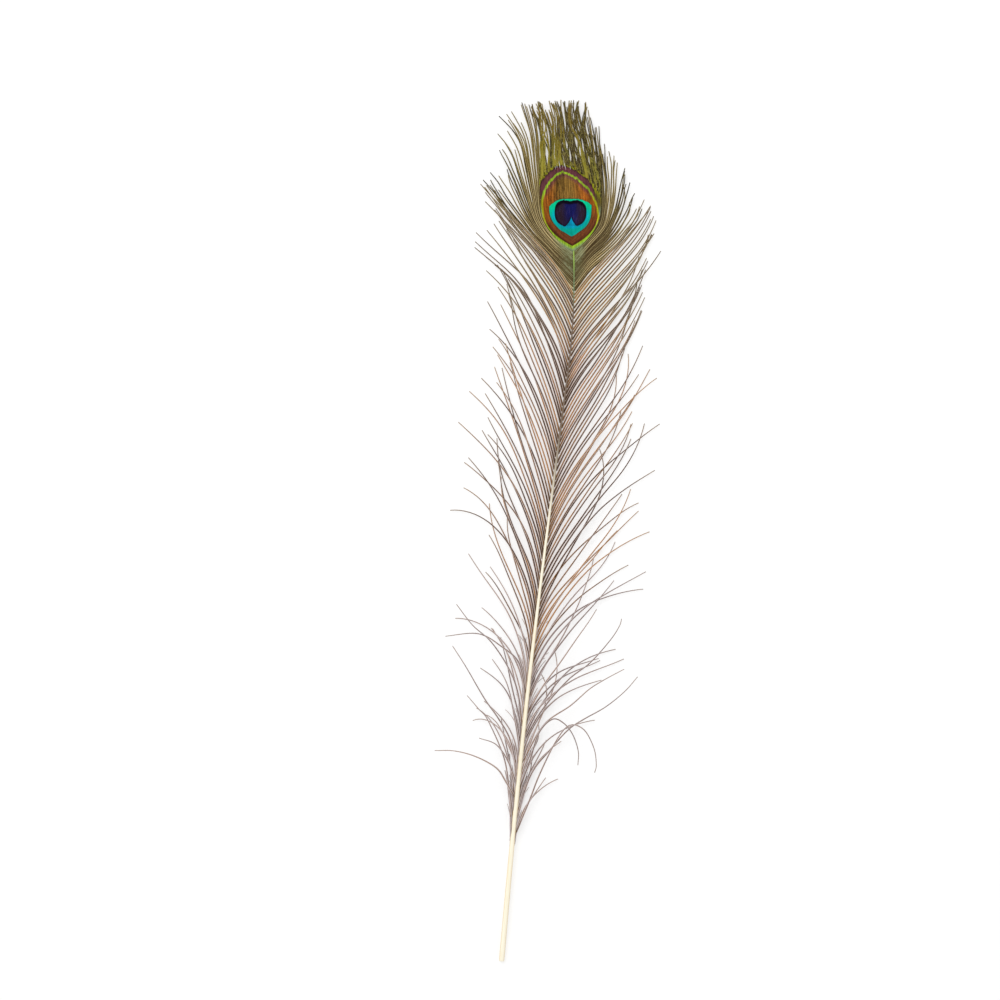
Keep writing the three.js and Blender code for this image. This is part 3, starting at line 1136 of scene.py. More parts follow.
# ---------------------------------------------------------------- the shaft
@dataclass
class Shaft:
    """The bare quill and the rachis, one tapering stem with a groove underneath."""

    line: ShaftLine
    finish: KeratinFinish = field(default_factory=KeratinFinish)
    sides: int = 16
    spacing: float = 5.5
    groove: float = 0.3  # depth of the groove, in half widths
    end_round: float = 0.8  # length of the quill's rounded end, in millimetres
    end_gap: float = 0.05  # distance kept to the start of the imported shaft, in millimetres
    end_share: float = 0.72  # the quill's width at its very end, as a share of the full width
    shoulder: tuple[float, float] = (0.35, 0.93)  # share of the rounding, and of the width there
    tip_share: float = 0.25  # what the last ring is drawn in to
    tip_gap: float = 0.2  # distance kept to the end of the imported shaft, in millimetres
    last_gap: float = 0.5  # the evenly spaced rings stop this far before that end
    floor_share: float = 0.97  # corners lower than this share of the half width are the groove's

    def build(self) -> bpy.types.Object:
        """Extrudes a round start along the shaft's line.

        Returns:
            The shaft's object.
        """
        first, last = self.line.stations[0], self.line.stations[-1]
        rings = np.arange(first + self.end_round, last - self.last_gap, self.spacing)
        start = self.line.place(self.line.at(first + self.end_gap))
        radius = self.line.half_width(first) * MM
        bpy.ops.mesh.primitive_circle_add(
            vertices=self.sides, radius=radius, fill_type="NGON", location=start,
            rotation=(math.pi / 2, 0, 0),
        )
        made = bpy.context.object
        made.name = made.data.name = "shaft_stem"
        bpy.ops.object.transform_apply(location=True, rotation=True, scale=True)
        bpy.ops.object.mode_set(mode="EDIT")
        bpy.ops.mesh.select_all(action="SELECT")
        self._scale(self.end_share, start)
        size, place = self.end_share, start
        rounding, fullness = self.shoulder
        shapes = [(first + self.end_round * rounding, fullness)]
        shapes += [(y, 1.0) for y in (*rings, last - self.tip_gap)]
        for y, fullness in shapes:
            there = self.line.place(self.line.at(y))
            bpy.ops.mesh.extrude_region_move(TRANSFORM_OT_translate={"value": there - place})
            wanted = fullness * self.line.half_width(y) / self.line.half_width(first)
            self._scale(wanted / size, there)
            size, place = wanted, there
        self._scale(self.tip_share, place)
        bpy.ops.object.mode_set(mode="OBJECT")
        self._carve_groove(made)
        self._round_off(made)
        self._mark(made)
        LOG.info("%s: %d rings, %d faces", made.name, len(shapes) + 1, len(made.data.polygons))
        return made

    @staticmethod
    def _scale(share: float, middle: np.ndarray) -> None:
        """Scales what is selected about a point."""
        bpy.ops.transform.resize(value=(share, share, share), center_override=middle)

    def _carve_groove(self, made: bpy.types.Object) -> None:
        """Pushes the lowest line of corners in, past the rounded end.

        Args:
            made: the stem, before it is smoothed.
        """
        for vertex in made.data.vertices:
            y = (vertex.co.y - self.line.origin.y) / MM
            middle = self.line.place(self.line.at(y))
            half = self.line.half_width(y) * MM
            lowest = vertex.co.z - middle[2] < -self.floor_share * half
            if lowest and y > self.end_round * 2:
                vertex.co.z += self.groove * half

    @staticmethod
    def _round_off(made: bpy.types.Object) -> None:
        """Faces the stem out, subdivides it and shades it smooth.

        Args:
            made: the stem.
        """
        bpy.ops.object.mode_set(mode="EDIT")
        bpy.ops.mesh.select_all(action="SELECT")
        bpy.ops.mesh.normals_make_consistent(inside=False)
        bpy.ops.object.mode_set(mode="OBJECT")
        smooth = made.modifiers.new("smooth", "SUBSURF")
        smooth.levels = smooth.render_levels = 1
        bpy.ops.object.modifier_apply(modifier=smooth.name)
        bpy.ops.object.shade_smooth()

    def _mark(self, made: bpy.types.Object) -> None:
        """Gives each corner its share of the half width and of the length.

        Args:
            made: the stem, smoothed.
        """
        corners = np.array([vertex.co for vertex in made.data.vertices], float)
        feather = (corners - np.array(self.line.origin)) / MM
        middle = np.array([self.line.at(y)[0] for y in feather[:, 1]])
        half = np.array([self.line.half_width(y) for y in feather[:, 1]])
        length = self.line.stations[-1]
        marks = {"aside": np.abs(feather[:, 0] - middle) / half, "along": feather[:, 1] / length}
        for key, values in marks.items():
            kept = made.data.attributes.new(key, "FLOAT", "POINT")
            kept.data.foreach_set("value", values.astype(np.float32))

    def dress(self, made: bpy.types.Object) -> None:
        """Gives the stem its horn and ties it to the frame.

        Args:
            made: the stem.
        """
        made.data.materials.clear()
        made.data.materials.append(self.finish.dress())
        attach(made, BODY)
        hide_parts("shaft")


# ---------------------------------------------------------------- loose barbs
@dataclass(frozen=True)
class BarbStation:
    """How barbs lie at one place along the shaft.

    Attributes:
        root: distance from the quill's end, in millimetres.
        length: the barb's length.
        turns: its direction outward from the feather's length, evenly from root to tip, in degrees.
        pitch: the distance to the next barb.
        fringe: the length of its barbules.
        wander: how far it strays from its neighbours' direction, in degrees.
    """

    root: float
    length: float
    turns: tuple[float, ...]
    pitch: float
    fringe: float
    wander: float


@dataclass(frozen=True)
class Clump:
    """Neighbouring barbs that cling together towards their tips."""

    low: float
    high: float
    hold: float  # share of the length from which they cling
    shade: float  # added to their tone


LEFT_STATIONS = (
    BarbStation(104, 50, (10, 24, 33, 44), 2.8, 0.42, 8),
    BarbStation(122, 57, (12, 27, 36, 48), 2.7, 0.42, 8),
    BarbStation(150, 60, (16, 24, 31, 38), 2.7, 0.42, 5),
    BarbStation(175, 58, (18, 25, 31, 36), 2.6, 0.36, 4),
    BarbStation(195, 56, (19, 28, 34, 42), 2.4, 0.42, 3.5),
    BarbStation(212, 52, (22, 34, 42, 48), 2.1, 0.50, 3),
    BarbStation(226, 50, (28, 42, 47, 46), 1.7, 0.54, 2.5),
    BarbStation(233, 50, (33, 47, 50, 43), 1.4, 0.54, 2.5),
)
RIGHT_STATIONS = (
    BarbStation(104, 60, (16, 33, 44, 32), 2.8, 0.42, 9),
    BarbStation(120, 66, (17, 31, 40, 26), 2.7, 0.42, 8),
    BarbStation(140, 64, (18, 28, 34, 20), 2.7, 0.42, 5),
    BarbStation(160, 62, (19, 27, 30, 16), 2.6, 0.42, 4),
    BarbStation(185, 56, (20, 29, 28, 14), 2.4, 0.40, 3.5),
    BarbStation(205, 50, (22, 34, 34, 16), 2.1, 0.46, 3),
    BarbStation(220, 46, (26, 38, 36, 18), 1.7, 0.52, 2.5),
    BarbStation(233, 42, (30, 37, 33, 23), 1.3, 0.54, 2.5),
)
STRAY_LEFT_STATIONS = (
    BarbStation(42, 26, (3, 8, 16, 24), 3.0, 0.50, 8),
    BarbStation(58, 40, (4, 15, 26, 34), 4.2, 0.50, 12),
    BarbStation(80, 46, (6, 20, 30, 38), 4.0, 0.46, 12),
    BarbStation(104, 50, (10, 24, 33, 44), 3.2, 0.42, 8),
)
STRAY_RIGHT_STATIONS = (
    BarbStation(41, 30, (4, 12, 20, 20), 2.8, 0.50, 9),
    BarbStation(58, 44, (6, 22, 34, 34), 3.7, 0.50, 13),
    BarbStation(80, 54, (10, 32, 44, 40), 3.8, 0.46, 13),
    BarbStation(104, 60, (16, 33, 44, 32), 3.1, 0.42, 8),
)
DOWN_STATIONS = (
    BarbStation(40, 13, (2, 5, 9, 16), 1.5, 0.42, 4),
    BarbStation(75, 17, (3, 7, 13, 24), 1.6, 0.42, 6),
    BarbStation(120, 15, (4, 10, 18, 28), 2.2, 0.36, 7),
)
LEFT_CLUMPS = (
    Clump(124, 131, 0.25, 0.3),
    Clump(158, 165, 0.5, 0.1),
    Clump(178, 184, 0.45, 0.3),
    Clump(196, 207, 0.25, 0.9),
    Clump(214, 219, 0.5, 0.3),
    Clump(227, 231, 0.5, 0.4),
)
RIGHT_CLUMPS = (
    Clump(112, 118, 0.5, 0.1),
    Clump(146, 151, 0.55, 0.0),
    Clump(169, 175, 0.4, 0.3),
    Clump(191, 199, 0.3, 0.8),
    Clump(216, 220, 0.5, 0.3),
)


@dataclass(frozen=True)
class Guide:
    """The path of one barb beside the eye, which its neighbours' paths are measured from.

    Attributes:
        root: distance from the quill's end, in millimetres.
        pitch: the distance to the next barb.
        through: points that the barb passes, evenly spaced, with its tip as the last.
    """

    root: float
    pitch: float
    through: tuple[tuple[float, float], ...]


LEFT_GUIDES = (
    Guide(233.6, 1.15, (
        (-5.4, 241.6), (-12.4, 247.8), (-18.4, 253.2), (-23.6, 258.4), (-28.2, 263.4), (-31.4, 267.0),
    )),
    Guide(238.0, 0.9, (
        (-5.6, 245.6), (-12.4, 251.4), (-18.0, 257.0), (-22.8, 262.2), (-26.8, 267.0), (-30.1, 271.2),
    )),
    Guide(240.2, 0.65, (
        (-5.6, 247.2), (-12.2, 253.2), (-17.0, 259.2), (-20.6, 264.6), (-23.4, 269.0), (-25.6, 272.6),
    )),
    Guide(242.4, 0.52, (
        (-5.6, 248.6), (-12.0, 255.2), (-16.4, 262.6), (-19.8, 269.2), (-23.2, 275.4), (-26.6, 280.4),
    )),
    Guide(244.0, 0.38, (
        (-5.4, 249.6), (-11.6, 256.4), (-15.4, 265.0), (-18.4, 272.4), (-22.0, 280.2), (-27.0, 286.6),
    )),
    Guide(245.4, 0.24, (
        (-5.2, 250.2), (-11.0, 257.0), (-13.8, 266.0), (-16.0, 274.0), (-19.6, 284.4), (-26.6, 292.5),
    )),
    Guide(246.6, 0.15, (
        (-4.8, 251.0), (-10.0, 257.3), (-12.2, 266.0), (-14.0, 274.6), (-16.4, 285.5), (-21.2, 296.5),
    )),
    Guide(247.6, 0.13, (
        (-4.3, 251.5), (-9.2, 257.4), (-11.1, 265.0), (-11.8, 274.0), (-13.0, 286.5), (-15.4, 298.3),
    )),
)
RIGHT_GUIDES = (
    Guide(233.6, 1.15, (
        (8.2, 241.0), (13.2, 246.2), (17.6, 251.4), (21.2, 256.4), (23.8, 261.0), (25.4, 265.2),
    )),
    Guide(236.4, 0.95, (
        (8.0, 243.6), (13.0, 248.9), (17.0, 253.8), (20.0, 258.2), (21.8, 262.0), (22.8, 265.6),
    )),
    Guide(239.0, 0.75, (
        (8.0, 246.4), (12.8, 251.6), (16.2, 256.8), (18.4, 261.6), (19.6, 265.8), (20.2, 269.6),
    )),
    Guide(241.6, 0.5, (
        (7.8, 248.4), (12.8, 254.2), (15.6, 260.2), (17.0, 266.2), (18.0, 271.6), (18.5, 276.3),
    )),
    Guide(243.6, 0.45, (
        (7.4, 250.0), (12.0, 256.4), (13.6, 262.8), (14.0, 269.6), (13.6, 276.0), (13.1, 281.3),
    )),
    Guide(245.0, 0.3, (
        (7.2, 251.0), (11.4, 257.6), (12.0, 265.0), (11.4, 272.4), (10.0, 279.2), (8.8, 284.6),
    )),
    Guide(246.0, 0.2, (
        (7.0, 251.6), (10.9, 258.0), (11.0, 266.0), (9.8, 274.4), (7.6, 282.6), (5.8, 289.5),
    )),
    Guide(246.8, 0.16, (
        (6.6, 252.0), (10.2, 258.0), (10.0, 266.4), (8.2, 275.4), (5.8, 285.4), (3.4, 294.4),
    )),
    Guide(247.6, 0.16, (
        (6.2, 252.3), (9.7, 258.2), (9.1, 266.0), (7.2, 275.6), (4.6, 287.0), (1.6, 299.0),
    )),
)


def cling(routes: Sequence[np.ndarray], hold: float, keep: float = 0.0) -> None:
    """Draws neighbouring routes to the middle one, in place.

    Args:
        routes: the routes, from one side of the clump to the other.
        hold: the share of their length from which they cling.
        keep: the share of their distance that they keep at the tip.
    """
    held = 0.95  # the share of their length at which they have closed up
    gap = 0.35  # what is left between two of them there, in millimetres
    leader = routes[len(routes) // 2].copy()
    slope = (leader[-1, 0] - leader[-2, 0]) / (leader[-1, 1] - leader[-2, 1])
    for order, route in enumerate(routes):
        share = np.linspace(0, 1, len(route))
        pull = np.clip((share - hold) / (held - hold), 0, 1)
        pull = pull * pull * (3 - 2 * pull) * (1 - keep)
        beside = np.interp(route[:, 1], leader[:, 1], leader[:, 0])
        beyond = route[:, 1] > leader[-1, 1]
        beside[beyond] = leader[-1, 0] + slope * (route[beyond, 1] - leader[-1, 1])
        offset = (order - len(routes) / 2) * gap
        route[:, 0] = route[:, 0] * (1 - pull) + (beside + offset) * pull


@dataclass
class LooseBarbs:
    """The loose barbs of one side of the shaft, between two of its stations."""

    name: str
    side: Side
    line: ShaftLine
    stations: Sequence[BarbStation]
    clumps: Sequence[Clump]
    form: BarbForm
    seed: int
    tip_height: float = 0.7
    arch: float = 1.3  # the most that a barb rises between root and tip
    edge: tuple[float, float] = (-32.2, 37.3)  # the furthest that a barb may reach, in millimetres
    tip_stray: float = 2.5  # how much further its tip may stray, in wanders
    wave_depth: tuple[float, float] = (0.3, 1.1)  # how deep its waves are, in wanders
    wave_turn: tuple[float, float] = (4.0, 9.0)  # how many radians of wave it has
    shortfall: float = 0.04  # how much shorter it may be for each degree of wander
    lowest: float = 0.35  # the least height over the surface

    def _measure(self, root: float, read: Callable[[BarbStation], float]) -> float:
        """A station's measure, carried over to a root between stations."""
        return float(np.interp(root, [s.root for s in self.stations], [read(s) for s in self.stations]))

    def barbs(self, chance: np.random.RandomState) -> list[tuple[np.ndarray, BarbForm, float]]:
        """Lays out the barbs from the lowest up.

        Args:
            chance: the source of random numbers.

        Returns:
            Each barb's route, form and tone.
        """
        laid, roots = [], []
        root = self.stations[0].root
        while root < self.stations[-1].root:
            form = replace(self.form, barbule=self._measure(root, lambda s: s.fringe))
            laid.append((self._route(root, chance), form, chance.uniform(0, 1)))
            roots.append(root)
            root += self._measure(root, lambda s: s.pitch) * chance.uniform(0.7, 1.3)
        for clump in self.clumps:
            members = [i for i, r in enumerate(roots) if clump.low <= r <= clump.high]
            cling([laid[i][0] for i in members], clump.hold)
            for i in members:
                route, form, tone = laid[i]
                laid[i] = (route, form, min(1.0, tone * 0.6 + clump.shade))
        return [(self._within(route), form, tone) for route, form, tone in laid]

    def _route(self, root: float, chance: np.random.RandomState) -> np.ndarray:
        """Lays one barb out from its root to its tip.

        Args:
            root: its distance from the quill's end.
            chance: the source of random numbers.

        Returns:
            The route.
        """
        steps = self.form.segments
        share = (np.arange(steps) + 0.5) / steps
        knots = len(self.stations[0].turns)
        turns = [self._measure(root, lambda s, k=k: s.turns[k]) for k in range(knots)]
        bend = np.interp(share, np.linspace(0, 1, knots), turns)
        wander = self._measure(root, lambda s: s.wander)
        bend = bend + chance.normal(0, wander) * share
        bend = bend + chance.normal(0, self.tip_stray * wander) * share**3
        depth = chance.uniform(*self.wave_depth) * wander
        sway = depth * np.sin(share * chance.uniform(*self.wave_turn) + chance.uniform(0, 6))
        angles = np.radians(self.side.value * bend + sway * share)
        length = self._measure(root, lambda s: s.length)
        length = length * chance.uniform(1 - self.shortfall * wander, 1.06)
        start = self.line.barb_root(root, self.side)
        along = np.linspace(0, 1, steps + 1)
        settle = along * along * (3 - 2 * along)
        rise = chance.uniform(-0.3, 1.0) * self.arch * np.sin(along * math.pi)
        tip = self.tip_height + chance.uniform(-0.25, 0.6)
        heights = np.maximum(start[2] * (1 - settle) + tip * settle + rise, self.lowest)
        return swept_route(start, length, angles, heights)

    def _within(self, route: np.ndarray) -> np.ndarray:
        """Draws a route in, so that it stays inside the feather's outline.

        Args:
            route: the route, which is changed in place.

        Returns:
            The same route.
        """
        limit = self.edge[0] if self.side is Side.LEFT else self.edge[1]
        furthest = route[np.argmax(self.side.value * route[:, 0]), 0]
        if self.side.value * furthest > self.side.value * limit:
            share = (limit - route[0, 0]) / (furthest - route[0, 0])
            route[:, 0] = route[0, 0] + (route[:, 0] - route[0, 0]) * share
        return route

    def build(self) -> bpy.types.Object:
        """Makes the side's barbs.

        Returns:
            The joined object.
        """
        chance = np.random.RandomState(self.seed)
        gathered = Plumage(self.name, self.line, chance)
        for route, form, tone in self.barbs(chance):
            gathered.add(route, form, {"tone": tone})
        return gathered.build()

    def dress(
        self, made: bpy.types.Object, finish: bpy.types.Material, slot: str, nodes: Sequence[str]
    ) -> None:
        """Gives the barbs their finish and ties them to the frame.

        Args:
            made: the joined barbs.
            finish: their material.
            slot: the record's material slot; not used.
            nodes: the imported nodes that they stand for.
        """
        made.data.materials.append(finish)
        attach(made, BODY)
        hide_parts(*nodes)


Point = tuple[float, float, float]
Wisp = tuple[float, tuple[Point, ...]]  # its root's distance from the quill's end, then points it passes

LEFT_WISPS: tuple[Wisp, ...] = (
    (57, ((-4.2, 62.3, 5.5), (-8.0, 67.0, 8.0), (-15.5, 70.3, 8.5), (-23.0, 71.4, 6.0),
          (-29.8, 70.7, 2.5))),
    (62, ((-4.5, 70.0, 5.2), (-9.0, 75.0, 5.8), (-14.9, 76.5, 4.0))),
    (50, ((-3.0, 60.5, 3.0), (-5.9, 71.0, 3.4), (-12.5, 83.0, 4.0), (-16.0, 86.5, 3.6),
          (-20.4, 90.7, 2.0))),
    (66, ((-4.2, 77.0, 3.6), (-9.0, 84.0, 4.0), (-14.5, 90.5, 4.0), (-21.5, 100.3, 3.5),
          (-27.0, 107.3, 2.0))),
    (81, ((-2.9, 93.0, 4.0), (-6.9, 101.4, 4.6), (-13.8, 110.0, 4.8), (-20.8, 115.2, 4.2),
          (-27.0, 121.8, 2.2))),
    (93, ((-2.8, 102.0, 5.4), (-5.4, 105.8, 6.6), (-10.4, 109.0, 7.4), (-15.6, 111.8, 7.2),
          (-20.8, 112.4, 5.6), (-29.8, 110.4, 2.0))),
)
RIGHT_WISPS: tuple[Wisp, ...] = (
    (44, ((4.5, 57.0, 5.0), (6.9, 65.7, 7.0), (11.4, 77.8, 9.2), (15.6, 84.0, 9.6), (20.8, 83.0, 9.0),
          (24.9, 76.8, 6.5), (26.3, 71.0, 4.0), (26.0, 68.2, 2.6))),
    (60, ((3.2, 70.0, 4.4), (5.5, 80.3, 6.4), (9.7, 85.5, 7.2), (13.8, 84.4, 6.8), (17.3, 80.6, 5.8),
          (19.7, 75.0, 3.6), (20.0, 70.2, 2.0))),
    (69, ((6.9, 83.0, 4.0), (15.6, 90.7, 4.6), (21.5, 96.9, 4.4), (27.0, 101.0, 3.4),
          (32.9, 104.8, 2.0))),
    (51, ((4.2, 65.7, 3.0), (9.7, 74.4, 3.6), (15.6, 82.3, 4.0), (20.8, 86.5, 4.0), (27.7, 91.3, 3.6),
          (33.8, 97.2, 2.8), (37.8, 102.6, 1.6))),
    (77, ((5.9, 88.2, 4.2), (13.8, 99.3, 4.8), (20.8, 105.9, 4.6), (27.0, 114.2, 3.8),
          (29.8, 119.4, 3.0), (30.4, 122.1, 2.2))),
    (86, ((5.2, 96.0, 4.4), (10.4, 104.8, 4.8), (15.6, 114.0, 4.4), (19.0, 119.8, 3.4),
          (21.5, 124.6, 2.2))),
)


@dataclass
class StrayBarbs(LooseBarbs):
    """The sparse downy barbs above the bare quill, with the long ones that curl away."""

    wisps: Sequence[Wisp] = ()
    wisp_form: BarbForm = BarbForm(0.30, 0.13, 0.56, 0.20, 0.08, segments=40, web=0.8)
    down_form: BarbForm = BarbForm(0.20, 0.08, 0.50, 0.20, 0.07, segments=14, web=0.5)

    def barbs(self, chance: np.random.RandomState) -> list[tuple[np.ndarray, BarbForm, float]]:
        """Lays out the stray barbs, the down at their feet and the long wisps.

        Args:
            chance: the source of random numbers.

        Returns:
            Each barb's route, form and tone.
        """
        laid = super().barbs(chance)
        down = replace(self, stations=DOWN_STATIONS, form=self.down_form)
        laid += LooseBarbs.barbs(down, chance)
        for root, through in self.wisps:
            start = self.line.barb_root(root, self.side)
            route = curve_through([start, *through], self.wisp_form.segments)
            laid.append((route, self.wisp_form, chance.uniform(0.2, 0.8)))
        return laid


# ---------------------------------------------------------------- the eye and the crest
Across = tuple[float, float, float]  # a measure at the eye's left edge, its axis and its right edge


@dataclass
class EyeAndCrest:
    """The close barbs that hold the eye's pattern, and the crest that they end in."""

    line: ShaftLine
    eye_barbs: int = 34  # on each side
    eye_reach: tuple[float, float] = (11.2, 10.3)  # how far beside its axis they reach, left and right
    root_top: float = 261.8
    root_low: float = 247.4
    seed: int = 41
    eye_form: BarbForm = BarbForm(0.15, 0.12, 0.40, 0.075, 0.12, angle=34, tilt=8, segments=32, web=0.6)
    crest_form: BarbForm = BarbForm(0.34, 0.18, 0.76, 0.10, 0.13, angle=32, tilt=24, segments=40, web=0.9)
    flank_form: BarbForm = BarbForm(0.38, 0.18, 0.52, 0.11, 0.11, angle=33, tilt=20, segments=44, web=0.95)
    pattern: EyePattern = field(default_factory=EyePattern)
    eye_edge: float = 2.7  # where the eye's barbs become the crest's, outside the bronze field
    crown: float = 2.3  # the eye's height along its axis
    slant: float = 0.03  # how far the eye falls for each millimetre beside its axis
    beside: float = -0.4  # where its barbs start, beside the shaft's middle line
    overlap: float = 0.15  # how far they start over that line
    axis_lean: float = -6.5  # the eye's axis, in degrees right of +Y
    bends: tuple[float, ...] = (269.0, 273.5, 279.0, 289.0, 300.0)  # where barbs turn, on the way up
    root_turn: tuple[float, float] = (50.0, 12.0)  # degrees that a barb turns up, and more at the edge
    straight: float = 14.0  # the least length over which a barb takes up the eye's axis
    lean_top: float = 254.0  # above here the shaft's direction is taken from here
    tops: Across = (299.4, 300.0, 298.6)  # where tips end, from the quill's end
    top_stray: float = 3.2  # how far below that they stay
    slack: Across = (1.01, 1.025, 1.07)  # a barb's length over its height, past its root's turn
    first_lean: Across = (-6.0, -11.0, -20.0)  # degrees right of +Y at the second bend
    leans: tuple[tuple[Across, float], ...] = (  # at the bends after it, and how far each strays
        ((-9.0, -14.0, -27.0), 6.0),
        ((-13.0, -12.0, -17.0), 9.0),
        ((-30.0, -6.0, 4.0), 14.0),
    )
    tip_height: float = 0.9  # the tips' height over the surface
    lowest: float = 0.4  # the least height over the surface
    flank_limits: tuple[float, float] = (-32.3, 37.3)
    ceiling: float = 299.5  # the highest that a tip reaches

    @staticmethod
    def _over(signed: float, measures: Across) -> float:
        """A measure that changes across the eye, at a place right of its axis."""
        return float(np.interp(signed, [-10.8, 0.0, 10.4], measures))

    def _route(
        self, side: Side, offset: float, reach: float, chance: np.random.RandomState
    ) -> np.ndarray:
        """One barb from its root through the eye to its tip in the crest.

        Args:
            side: the side of the shaft.
            offset: the barb's distance beside the eye's axis.
            reach: the distance of the side's last barb.
            chance: the source of random numbers.

        Returns:
            The route.
        """
        signed = side.value * offset
        steps = self.eye_form.segments * 2
        root = self.root_top - (self.root_top - self.root_low) * offset / reach
        least, more = self.root_turn
        start_turn = math.radians(least + more * offset / reach)
        arc = offset * start_turn / (1 - math.cos(start_turn))
        rise = arc * math.sin(start_turn) / start_turn
        top = self._over(signed, self.tops) - abs(chance.normal(0, self.top_stray))
        length = arc + (top - root - rise) * self._over(signed, self.slack)
        gone = (np.arange(steps) + 0.5) / steps * length
        turn = np.clip(1 - gone / arc, 0, 1) * start_turn
        climbed = root + np.minimum(gone / arc, 1) * rise + np.maximum(gone - arc, 0)
        settle = np.clip(gone / max(arc, self.straight), 0, 1)
        low, axis = self.line.lean(min(root, self.lean_top)), math.radians(self.axis_lean)
        loose = [self._over(signed, self.first_lean)]
        loose += [self._over(signed, lean) + chance.normal(0, stray) for lean, stray in self.leans]
        free = np.interp(climbed, self.bends, [self.axis_lean, *loose])
        base = np.where(gone < arc, low * (1 - settle) + axis * settle, np.radians(free))
        sway = math.radians(chance.uniform(5, 18)) * np.sin(gone / chance.uniform(1.2, 4.2))
        sway = sway * np.clip((climbed - self.bends[1]) / 8, 0, 1)
        start = self.line.at(root)
        start[0] += self.beside - side.value * self.overlap
        along = np.linspace(0, 1, steps + 1)
        foot = start[2] + self.line.half_width(root) + 0.1
        lift = np.minimum(along * length / 5, 1)
        fall = np.clip((along * length - arc) / (length - arc), 0, 1)
        plane = self.crown - self.slant * offset
        heights = foot * (1 - lift) + plane * lift + chance.uniform(-0.06, 0.06)
        heights = heights + fall * (self.tip_height - plane + chance.uniform(-0.3, 1.4))
        heights = np.maximum(heights, self.lowest)
        route = swept_route(start, length, base + side.value * turn + sway, heights)
        rest = self.bends[2]
        limit = self.ceiling - chance.uniform(0, 2.6)
        squeeze = min(1.0, (limit - rest) / (route[-1, 1] - rest))
        high = route[:, 1] > rest
        route[high, 1] = rest + (route[high, 1] - rest) * squeeze
        return route

    def _flank_route(
        self, side: Side, guides: Sequence[Guide], root: float, chance: np.random.RandomState
    ) -> np.ndarray:
        """One barb beside the eye, carried over from the guides below and above it.

        Args:
            side: the side of the shaft.
            guides: the side's guides, from the lowest root up.
            root: the barb's distance from the quill's end.
            chance: the source of random numbers.

        Returns:
            The route.
        """
        roots = [guide.root for guide in guides]
        through = []
        for k in range(len(guides[0].through)):
            places = [[guide.through[k][axis] for guide in guides] for axis in (0, 1)]
            through.append([np.interp(root, roots, places[axis]) for axis in (0, 1)])
        start = self.line.barb_root(root, side)
        flat = curve_through([start[:2], *through], self.flank_form.segments)
        share = np.linspace(0, 1, len(flat))
        keep = int(round((len(flat) - 1) * (1 - abs(chance.normal(0, 0.06)))))
        drift = chance.normal(0, 0.9) * share**2 + chance.normal(0, 1.2) * share**5
        depth = chance.uniform(0.05, 0.3)
        sway = depth * np.sin(share * chance.uniform(9, 22) + chance.uniform(0, 6)) * share
        settle = np.minimum(share * 4, 1)
        height = (start[2] - 0.1) * (1 - settle) + chance.uniform(0.9, 2.0) * settle
        route = np.stack([flat[:, 0] + drift + sway, flat[:, 1], height], -1)[: keep + 1]
        route[:, 0] = np.clip(route[:, 0], *self.flank_limits)
        return route

    def _split(self, route: np.ndarray) -> int:
        """Finds where a barb leaves the eye.

        Args:
            route: the barb's route.

        Returns:
            The index of the point where the eye's part ends and the crest's starts.
        """
        about = route[:, :2] - np.array([0.0, EYE_HEART_Y])
        turn, lift = math.cos(EYE_TURN), math.sin(EYE_TURN)
        x = about[:, 0] * turn + about[:, 1] * lift
        y = about[:, 1] * turn - about[:, 0] * lift
        upper = (y > self.pattern.middle).astype(float)
        outside = (self.pattern.level(x, y, upper) > self.eye_edge) & (y > 0)
        found = np.nonzero(outside)[0]
        return int(found[0]) if len(found) else len(route) - 1

    def build(self) -> tuple[bpy.types.Object, bpy.types.Object]:
        """Makes the eye's barbs and the crest's.

        Returns:
            The eye's object and the crest's.
        """
        chance = np.random.RandomState(self.seed)
        eye = Plumage("eye_barbs", self.line, chance)
        crest = Plumage("crest_barbs", self.line, chance)
        for side, guides in ((Side.LEFT, LEFT_GUIDES), (Side.RIGHT, RIGHT_GUIDES)):
            roots, pitches = [guide.root for guide in guides], [guide.pitch for guide in guides]
            root = roots[0]
            while root < roots[-1]:
                route = self._flank_route(side, guides, root, chance)
                crest.add(route, self.flank_form, {"tone": chance.uniform(0, 1), "flank": 1.0})
                root += np.interp(root, roots, pitches) * chance.uniform(0.7, 1.3)
        for route in self._eye_routes(chance):
            cut = self._split(route)
            share = cut / (len(route) - 1)
            tone = chance.uniform(0, 1)
            eye.add(route[: cut + 1], self.eye_form, {"tone": tone}, 0.0, share)
            crest.add(route[cut:], self.crest_form, {"tone": tone, "flank": 0.0}, share, 1.0)
        return eye.build(planar_map=True), crest.build()

    def _eye_routes(self, chance: np.random.RandomState) -> list[np.ndarray]:
        """Lays out the eye's barbs, and gathers them in clumps above the eye.

        Args:
            chance: the source of random numbers.

        Returns:
            The routes, from the eye's left edge to its right one.
        """
        routes = []
        for side, reach in zip(Side, self.eye_reach):
            places = np.linspace(0.16, reach, self.eye_barbs)
            made = [self._route(side, offset, reach, chance) for offset in places]
            routes += made[::-1] if side is Side.LEFT else made
        first = 0
        while first < len(routes):
            size = chance.randint(2, 6)
            cling(routes[first:first + size], chance.uniform(0.42, 0.6), chance.uniform(0.0, 0.4))
            first += size
        return routes

    def dress(self, eye: bpy.types.Object, crest: bpy.types.Object) -> None:
        """Gives both their finish and ties them to the frame.

        Args:
            eye: the eye's barbs.
            crest: the crest's.
        """
        eye.data.materials.append(EyeFinish().dress(self.line))
        crest.data.materials.append(CrestFinish().dress(self.line))
        for made, node, slot in ((eye, "eye", "eye_barbs"), (crest, "crest", "crest_barbs")):
            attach(made, BODY)
            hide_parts(node)


